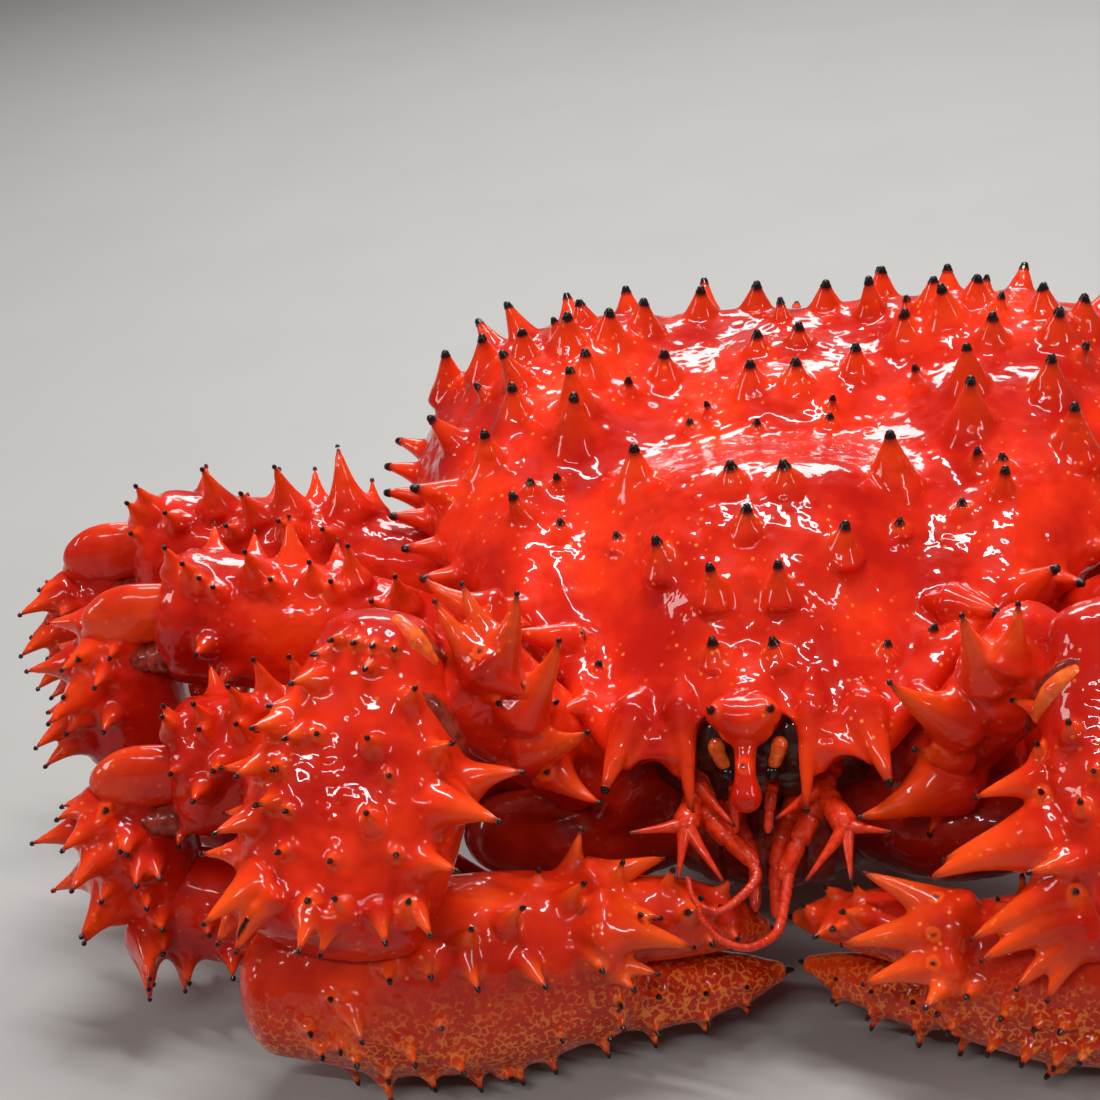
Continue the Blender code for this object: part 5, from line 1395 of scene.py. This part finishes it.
def plan_claws(crab):
    """Both claw legs, from the hip to the two fingers."""
    for side, claw in CLAWS.items():
        size = claw["size"]
        sign = -1.0 if side == "right" else 1.0
        outward = (sign, 0.0, 0.0)
        to_viewer = (0.0, -0.8, 0.6)
        up = (0.0, 0.0, 1.0)
        ahead = (0.0, -1.0, 0.0)
        palm_start, palm_end = (Vector(point) for point in claw["palm"])
        fixed_start = palm_end + Vector((sign * 5.0, 0.0, -5.6)) * size
        moving_start = palm_end + Vector((sign * 0.5, 0.0, 5.6)) * size
        fixed_tip, moving_tip = Vector(claw["fixed_tip"]), Vector(claw["moving_tip"])
        limbs = {
            "ischium": Limb((claw["hip"], claw["merus"]), CLAW_FORMS["ischium"], up, ahead, size=size),
            "merus": Limb((Vector(claw["merus"]) + Vector((sign * MERUS_OUT, 0.0, 0.0)),
                           Vector(claw["elbow"]) + Vector((sign * MERUS_OUT, 0.0, 0.0))),
                          CLAW_FORMS["merus"], to_viewer, outward, caps=(3.0, 3.5), size=size),
            "carpus": Limb(claw["carpus"], CLAW_FORMS["carpus"], to_viewer, outward, caps=(5.0, 5.5),
                           size=size, power=2.4),
            "palm": Limb((palm_start, (palm_start + palm_end) * 0.5 + Vector((0.0, -1.2, 0.0)), palm_end),
                         CLAW_FORMS["palm"], up, ahead, caps=(6.0, 5.0), size=size),
            "finger": Limb((moving_start, (moving_start + moving_tip) * 0.5 + Vector((0.0, -0.6, 1.6)),
                            moving_tip), CLAW_FORMS["moving"], up, ahead, caps=(4.5, 1.4), size=size),
        }
        fixed = Limb((fixed_start, (fixed_start + fixed_tip) * 0.5 + Vector((0.0, -0.6, -0.8)), fixed_tip),
                     CLAW_FORMS["fixed"], up, ahead, caps=(4.0, 1.4), size=size)
        for part, limb in limbs.items():
            forms = [limb.rings()]
            if part == "palm":
                forms.append(fixed.rings())
            if part == "ischium":
                lobe = [mirrored(point, side) for point in HIP_LOBE]
                forms.append(tube(lobe, HIP_LOBE_RADII, sides=32, steps=24))
            voxel = VOXEL_HIDDEN if part == "ischium" else VOXEL_ARM
            # Painted shade: the claw's ischium, with the thick underside of the arm's base, takes the dark
            # red-brown hip finish as if in shadow
            finish = {"palm": "palm", "finger": "palm", "ischium": "hip"}.get(part, "arm")
            crab.add(f"claw_{part}_{side}", forms, finish, "claw", voxel, limb)
        for node, limb, tip in (("palm", fixed, fixed_tip), ("finger", limbs["finger"], moving_tip)):
            _, heading, *_ = limb.frame(1.0)
            nail = Spine(tip - heading * NAIL_ROOT, tip + heading * NAIL_LENGTH * size, NAIL_RADIUS * size)
            nail.cap = NAIL_DARK * size
            crab.pieces[f"claw_{node}_{side}"].spines.append(nail)
        grow_claw_spines(crab, side, fixed)


def grow_claw_spines(crab, side, fixed):
    """Rows of spines on a claw leg; angle 90 is outward on the arm and the front face on the palm."""
    name = f"claw_{{}}_{side}"
    for angle in (72.0, 108.0, 150.0):
        crab.row(name.format("palm"), angle, (0.12, 0.36, 0.6, 0.82), (3.2, 2.8, 2.4, 1.8), limb=fixed)
    for angle, places, length in ((10.0, (0.1, 0.4, 0.7), (5.0, 4.5, 3.2)), (55.0, (0.2, 0.5), 4.0)):
        crab.row(name.format("finger"), angle, places, length)


def grow_arm_spines(crab):
    """Spines of both arms: those that the picture shows, and others where it doesn't look."""
    for node, tips in {**LEFT_TIPS_PX, **CLAW_TIPS_PX}.items():
        crab.fit(node, tips)
    for side in ("right", "left"):
        name = f"claw_{{}}_{side}"
        crab.fill(name.format("merus"), (7.0, 6.0, 4.5), 8.0)
        crab.fill(name.format("carpus"), (5.0, 6.0, 4.0), 7.0)
        crab.fill(name.format("palm"), (5.0, 4.0, 3.6), 6.5)


def leg_limb(points, part, side, up, bow=0.0, caps=(3.0, 3.0)):
    """A leg segment between two points of the right side, or its mirror image."""
    start = mirrored(points[0], side)
    end = mirrored(points[1], side)
    middle = (start + end) * 0.5 + mirrored(up, side).normalized() * bow
    return Limb((start, middle, end), LEG_FORMS[part], mirrored(up, side), (0.0, -1.0, 0.0), caps=caps)


def plan_legs(crab):
    """Six walking legs: hip piece, merus out to the knee, carpus, propodus and claw folded under it."""
    for place, (hip, start, knee, ankle, wrist, tip) in LEGS.items():
        for side in ("right", "left"):
            limbs = {
                "ischium": leg_limb((hip, start), "ischium", side, (0.0, 0.0, 1.0)),
                "carpus": leg_limb((Vector(knee) + Vector(CARPUS_TOP), ankle), "carpus", side,
                                   (-1.0, 0.0, 0.25), 1.5, (4.5, 3.0)),
                "merus": leg_limb((start, Vector(knee).lerp(start, MERUS_SHORTER)), "merus", side,
                                  (0.0, 0.0, 1.0), 1.5, (2.0, 2.4)),
                "propodus": leg_limb((ankle, wrist), "propodus", side, (-0.5, 0.0, -1.0), 1.0, (4.0, 2.5)),
                "dactylus": leg_limb((wrist, tip), "dactylus", side, (-0.2, 0.0, -1.0), -1.5, (2.0, 1.2)),
            }
            for part, limb in limbs.items():
                voxel = VOXEL_HIDDEN if part == "ischium" else VOXEL_LEG
                crab.add(f"{place}_leg_{part}_{side}", [limb.rings()], "leg", "leg", voxel, limb)


def grow_leg_spines(crab):
    """Spines of the walking legs: those that the picture shows, and others where it doesn't look."""
    for node, tips in LEG_TIPS_PX.items():
        crab.fit(node, tips)
    for place in LEGS:
        for side in ("right", "left"):
            name = f"{place}_leg_{{}}_{side}"
            crab.fill(name.format("merus"), (7.0, 4.5, 4.0), 7.5)
            crab.fill(name.format("carpus"), (7.5, 5.5, 4.0), 7.0)
            crab.fill(name.format("propodus"), (6.5, 5.5, 3.5), 6.8)
            crab.row(name.format("dactylus"), 40.0, (0.15, 0.4), 3.0)
            crab.row(name.format("dactylus"), -40.0, (0.15, 0.4), 3.0)


def grow_back_spines(crab):
    """Spines of the back, its edges, the brow and the tail."""
    rng = crab.random
    crab.fit_back(BACK_TIPS_PX)
    for sign in (-1.0, 1.0):
        for x, y, length, radius, outward_lean, forward_lean in BACK_SPINES:
            place_x = sign * x * rng.uniform(0.98, 1.02)
            place_y = y + rng.uniform(-0.5, 0.5)
            lean = Vector((sign * math.tan(math.radians(outward_lean)),
                           -math.tan(math.radians(forward_lean)), UPRIGHT))
            root = Vector((place_x, place_y, back_height(place_x, place_y)))
            if crab.has_room("carapace", root, BACK_ROOM * min(1.0, radius / 3.5)):
                crab.grow("carapace", root, back_normal(place_x, place_y) + lean, length, radius, sure=True)
        for y, length, radius, forward_lean in EDGE_SPINES:
            place_y = y + rng.uniform(-0.8, 0.8)
            half_width, edge, _ = smooth_between(CARAPACE_STATIONS, place_y)
            ahead = smooth_between(CARAPACE_STATIONS, place_y - 1.0)[0]
            behind = smooth_between(CARAPACE_STATIONS, place_y + 1.0)[0]
            outward = Vector((2.0, ahead - behind, 0.7)).normalized()
            outward.y -= math.tan(math.radians(forward_lean))
            outward.x *= sign
            root = Vector((sign * (half_width - 0.8), place_y, edge + 0.8))
            if crab.has_room("carapace", root, BACK_ROOM):
                crab.grow("carapace", root, outward, length, radius, bend=0.05, sure=True)
        for (root, tip, radius), bend in ((ORBITAL_SPINE, 0.05), (CORNER_SPINE, 0.06), (BROW_SPINE, 0.0)):
            start = Vector((sign * root[0], root[1], root[2]))
            end = Vector((sign * tip[0], tip[1], tip[2]))
            crab.grow("carapace", start, end - start, (end - start).length, radius, bend, sure=True)
    for y, length, radius, forward_lean in MEDIAN_SPINES:
        lean = Vector((0.0, -math.tan(math.radians(forward_lean)), 0.0))
        crab.grow("carapace", (0.0, y, back_height(0.0, y)), back_normal(0.0, y) + lean, length, radius)
    root, tip, radius = ROSTRUM_SPINE
    crab.grow("carapace", root, Vector(tip) - Vector(root), (Vector(tip) - Vector(root)).length, radius,
              sure=True)
    for index in range(REAR_EDGE_SPINES):
        x = REAR_EDGE_SPAN * (index / (REAR_EDGE_SPINES - 1) - 0.5)
        crab.grow("carapace", (x, *REAR_EDGE_PLACE), (x * 0.01, 1.0, 0.35), *REAR_EDGE_FORM)
    for height, number, length in REAR_WALL_ROWS:
        for index in range(number):
            x = REAR_WALL_SPAN * ((index + rng.uniform(-0.2, 0.2)) / (number - 1) - 0.5)
            start = Vector((x, BEHIND_CRAB, height + rng.uniform(-REAR_WALL_JITTER, REAR_WALL_JITTER)))
            root, normal, _, _ = crab.pieces["carapace"].tree.ray_cast(start, Vector((0.0, -1.0, 0.0)))
            if root and crab.has_room("carapace", root, REAR_WALL_ROOM):
                crab.grow("carapace", root, normal + Vector((0.0, 0.2, 0.4)), length * rng.uniform(0.8, 1.2))
    for angle in TAIL_ANGLES:
        places = [0.06 + 0.085 * step + rng.uniform(-TAIL_JITTER, TAIL_JITTER) for step in range(10)]
        lengths = tuple(rng.uniform(*TAIL_SPINE_LENGTHS) for _ in places)
        turn = angle + rng.uniform(-6.0, 6.0)
        crab.row("abdomen", turn, places, lengths, TAIL_SPINE_RADIUS, lean=8.0, dark=False)


def build_head(materials):
    """Eyes, feelers and mouth limbs, each straight from its rings."""
    # Painted shade: dark forms fill the hollow behind and below the eyes
    shade_fill = Geometry().add(tube(FACE_SHADE_FILL, (FACE_SHADE_FILL_RADIUS, FACE_SHADE_FILL_RADIUS), 32, 30, groove=0.06,
                                 joints=4))
    shade_fill.add(tube(FACE_SHADE_FLOOR, (FACE_SHADE_FLOOR_RADIUS, FACE_SHADE_FLOOR_RADIUS), 32, 30, groove=0.06, joints=5))
    smooth_piece("face_shade_fill", shade_fill, materials["shade_fill"])
    field = Geometry().add(tube(MOUTH_FIELD, (MOUTH_FIELD_RADIUS, MOUTH_FIELD_RADIUS), 40, 40, groove=0.08,
                                joints=4))
    smooth_piece("mouth_field", field, materials["membrane"])
    for side in ("right", "left"):
        def here(point):
            return mirrored(Vector((-point[0], point[1], point[2])), side)

        cornea = here(EYE["cornea"])
        stalk_points = [here(point) for point in EYE["stalk"]]
        heading = (cornea - stalk_points[-1]).normalized()
        radius = EYE["cornea_radius"]
        ends = (cornea - heading * 0.15, cornea + heading * 0.15)
        eye = Geometry().add(tube(ends, (radius, radius), 24, 6))
        smooth_piece(f"eye_cornea_{side}", eye, materials["cornea"], [f"cornea_{side}"])
        stalk = Geometry().add(tube(stalk_points, (EYE["stalk_radius"] * 1.25, EYE["stalk_radius"] * 0.9),
                                    24, 40, groove=0.06, joints=2))
        smooth_piece(f"eye_rod_{side}", stalk, materials["stalk"], [f"eye_stalk_{side}"])
        feeler = Geometry().add(tube(PEDUNCLE[side], (2.6, 2.2, 1.7, 1.2), 24, 60, groove=0.22, joints=5))
        feeler.add(tube(FLAGELLUM[side], (0.9, 0.7, 0.55, 0.45), 12, 220, groove=0.18, joints=34))
        hub = Vector(ACICLE_HUBS[side])
        scale_root = Vector(PEDUNCLE[side][1]) + Vector((0.0, 0.9, 0.7))
        feeler.add(tube((scale_root, hub), (1.8, 2.0), 20, 16, groove=0.12, joints=2))
        prongs = [Spine(*INNER_SPINE[side], 1.5)]
        prongs += [Spine(hub, tip, 1.5) for tip in ACICLE_TIPS[side]]
        for prong in prongs:
            rows = prong.rings(-0.15, 0.96, 14, 14)
            feeler.add(rows, [max(0.0, (index - 12.5) / 3.0) for index in range(len(rows))])
        smooth_piece(f"feeler_{side}", feeler, materials["feeler"], [f"antenna_{side}"])
        inner = Geometry().add(tube([here(point) for point in ANTENNULE], (1.2, 1.0, 0.6), 16, 50,
                                    groove=0.2, joints=4))
        smooth_piece(f"inner_feeler_{side}", inner, materials["feeler"], [f"antennule_{side}"])
        mouth = Geometry().add(tube(MAXILLIPED[side], (2.2, 1.5, 1.15, 0.8), 20, 70, groove=0.2, joints=6))
        smooth_piece(f"mouth_limb_{side}", mouth, materials["feeler"], [f"maxilliped_{side}"])


def picture_point(crab, nodes, pixel_x, pixel_y, sink):
    """Where the camera's sight through a pixel meets one of the named pieces, and sink beyond that."""
    sight = picture_sight(pixel_x, pixel_y)
    hits = [crab.pieces[node].tree.ray_cast(CAMERA_PLACE, sight) for node in nodes]
    point = min((hit for hit in hits if hit[0]), key=lambda hit: hit[3], default=(None,))[0]
    return point + sight * sink if point else None


def build_elbow_skins(crab, materials):
    """The golden strip and the soft skin of each elbow, laid where the picture shows them."""
    for side, strips in ELBOW_STRIPS_PX.items():
        nodes = [f"claw_{part}_{side}" for part in ("carpus", "merus")]
        for number, (finish, radius, pixels) in enumerate(strips):
            points = [picture_point(crab, nodes, *pixel, STRIP_SINK * radius) for pixel in pixels]
            points = [point for point in points if point]
            if len(points) > 1:
                strip = Geometry().add(tube(points, (radius * 0.8, radius, radius * 0.7), 20, 60))
                smooth_piece(f"elbow_strip_{side}_{number}", strip, materials[finish])


def build_joint_faces(materials):
    """Smooth faces at the knees, with soft skin beside them, which the wet light picks out."""
    for side in ("right", "left"):
        for place, (_, _, knee, _, _, _) in LEGS.items():
            middle = Vector(knee)
            plane = middle.y - KNEE_PLANE
            rows = tube([mirrored(middle + Vector(point), side) for point in KNEE_FACE], KNEE_FACE_RADII,
                        32, 40)
            face = Geometry().add([[Vector((point.x, plane + (point.y - plane) * KNEE_FLATNESS, point.z))
                                    for point in row] for row in rows])
            smooth_piece(f"knee_{place}_{side}", face, materials["joint"])
            skin = Geometry().add(tube([mirrored(middle + Vector(point), side) for point in KNEE_SKIN],
                                       KNEE_SKIN_RADII, 24, 16, groove=0.12, joints=3))
            smooth_piece(f"knee_skin_{place}_{side}", skin, materials["membrane"])


def build_shell(crab, materials):
    """Skin every shell piece and set all the dark points on their spines."""
    points = Geometry()
    for node, piece in crab.pieces.items():
        solid = Geometry()
        cut = cut_hollows(piece.forms[0]) if node == "carapace" else None
        for rows in piece.forms[1:] if cut else piece.forms:
            solid.add(rows)
        bead = next((height for part, height in BEAD_HEIGHTS.items() if part in node), 0.5)
        for spine in piece.spines:
            solid.add(spine.rings(-spine.depth / spine.length, 0.93, 14, 16, sink=spine.mound))
            if spine.dark:
                height = spine.dark_height(bead)
                extra = BACK_BEAD_EXTRA if node == "carapace" else BEAD_EXTRA
                start = 1.0 - height * BEAD_LAP / spine.length
                rows = spine.rings(start, 0.96, 10, 5, extra=extra, sink=spine.mound)
                rows = moved_by_mounds(rows, piece.spines)
                points.add(rows, [min(1.0, max(0.0, (index - 1) / 1.5)) for index in range(len(rows))])
        item = voxel_skin("skin_" + node, solid, piece.voxel, cut)
        finish_skin(item, piece.spines, bead)
        item.data.materials.append(materials[piece.finish])
        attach(item, "root")
        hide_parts(node)
    smooth_piece("spine_points", points, materials["shell"])


def build_stage():
    """A pale floor, soft lights and the picture's camera."""
    bpy.ops.mesh.primitive_plane_add(size=6.0, location=(0.0, 0.0, -0.0002))
    floor = bpy.context.object
    floor.name = "floor"
    nodes = Nodes("floor_finish")
    mottle = nodes.noise(0.05, 2.0)
    nodes.link(nodes.mix(mottle, *FLOOR_COLOURS), nodes.shader.inputs["Base Color"])
    nodes.set(Roughness=0.6)
    floor.data.materials.append(nodes.material)
    floor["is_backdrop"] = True

    world = bpy.data.worlds.new("studio")
    bpy.context.scene.world = world
    world.use_nodes = True
    world.node_tree.nodes["Background"].inputs["Color"].default_value = ROOM_COLOUR
    world.node_tree.nodes["Background"].inputs["Strength"].default_value = ROOM_LIGHT

    for name, place, target, width, height, power in LIGHTS:
        light = bpy.data.lights.new(name, "AREA")
        light.shape = "RECTANGLE"
        light.size = width
        light.size_y = height
        light.energy = power
        lamp = placed(name, light)
        lamp.location = Vector(place)
        lamp.rotation_euler = (Vector(target) - Vector(place)).to_track_quat("-Z", "Y").to_euler()

    bpy.context.scene.view_settings.view_transform = "Standard"
    lens = bpy.data.cameras.new("picture_camera")
    lens.sensor_width = SENSOR
    lens.lens = FOCAL_PX / FRAME_PX * SENSOR
    lens.clip_start = 0.01
    camera = placed("picture_camera", lens)
    right, up, forward = picture_axes()
    turn = Matrix((right, up, -forward)).transposed().to_4x4()
    camera.matrix_world = Matrix.Translation(CAMERA_PLACE * MM + SHIFT) @ turn
    bpy.context.scene.camera = camera


def main():
    materials = {
        "shell": shell_material("wet_shell", (0.84, 0.030, 0.005), (0.50, 0.008, 0.002), (0.90, 0.065, 0.006),
                                spine_share=0.55),
        "arm": shell_material("wet_arm", (0.84, 0.030, 0.005), (0.50, 0.008, 0.002), (0.92, 0.085, 0.006),
                              dots=0.5),
        # Painted shade: the arms' bases are a dark red-brown, as they look in shadow
        "hip": shell_material("wet_hip_painted_shade", (0.46, 0.014, 0.003), (0.22, 0.006, 0.002), (0.50, 0.02, 0.004),
                              dots=0.2),
        "leg": shell_material("wet_leg", (0.76, 0.022, 0.004), (0.40, 0.005, 0.002), (0.88, 0.065, 0.006),
                              dots=0.5),
        # The palm's lower side has its lace pattern and painted shade
        "palm": shell_material("wet_palm", (0.82, 0.042, 0.006), (0.50, 0.014, 0.003), (0.92, 0.10, 0.008),
                               lace_and_low_shade=0.7),
        "belly_shell": shell_material("wet_tail", (0.80, 0.06, 0.012), (0.56, 0.02, 0.005),
                                      (0.92, 0.22, 0.04)),
        "belly": plain_material("wet_belly", (0.62, 0.12, 0.035), (0.74, 0.27, 0.10), 0.4, 0.5, 0.006,
                                0.0004),
        "feeler": plain_material("wet_feeler", (0.56, 0.018, 0.003), (0.72, 0.044, 0.006), 0.34, 0.8, 0.0009),
        "stalk": plain_material("wet_stalk", (0.82, 0.17, 0.018), (0.74, 0.06, 0.008), 0.34, 0.9),
        "joint": shell_material("wet_joint", (0.80, 0.060, 0.008), (0.60, 0.016, 0.004), (0.86, 0.09, 0.01),
                                dots=0.3),
        "gold": plain_material("wet_gold", (0.84, 0.15, 0.018), (0.78, 0.06, 0.010), 0.38, 0.8, 0.0016,
                               0.0004),
        "membrane": plain_material("wet_membrane", (0.36, 0.034, 0.014), (0.18, 0.010, 0.005), 0.4, 1.0,
                                   0.002, 0.0003),
        # Painted shade: near-black brown for the forms in the face's hollow
        "shade_fill": plain_material("wet_shade_fill", (0.050, 0.010, 0.006), (0.10, 0.020, 0.010), 0.4),
        "cornea": plain_material("wet_cornea", (0.010, 0.008, 0.008), (0.018, 0.012, 0.010), 0.1),
    }
    crab = Crab()
    plan_body(crab)
    plan_claws(crab)
    plan_legs(crab)
    grow_back_spines(crab)
    grow_arm_spines(crab)
    grow_leg_spines(crab)
    build_shell(crab, materials)
    build_joint_faces(materials)
    build_elbow_skins(crab, materials)
    build_head(materials)
    build_stage()


main()
low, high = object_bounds()
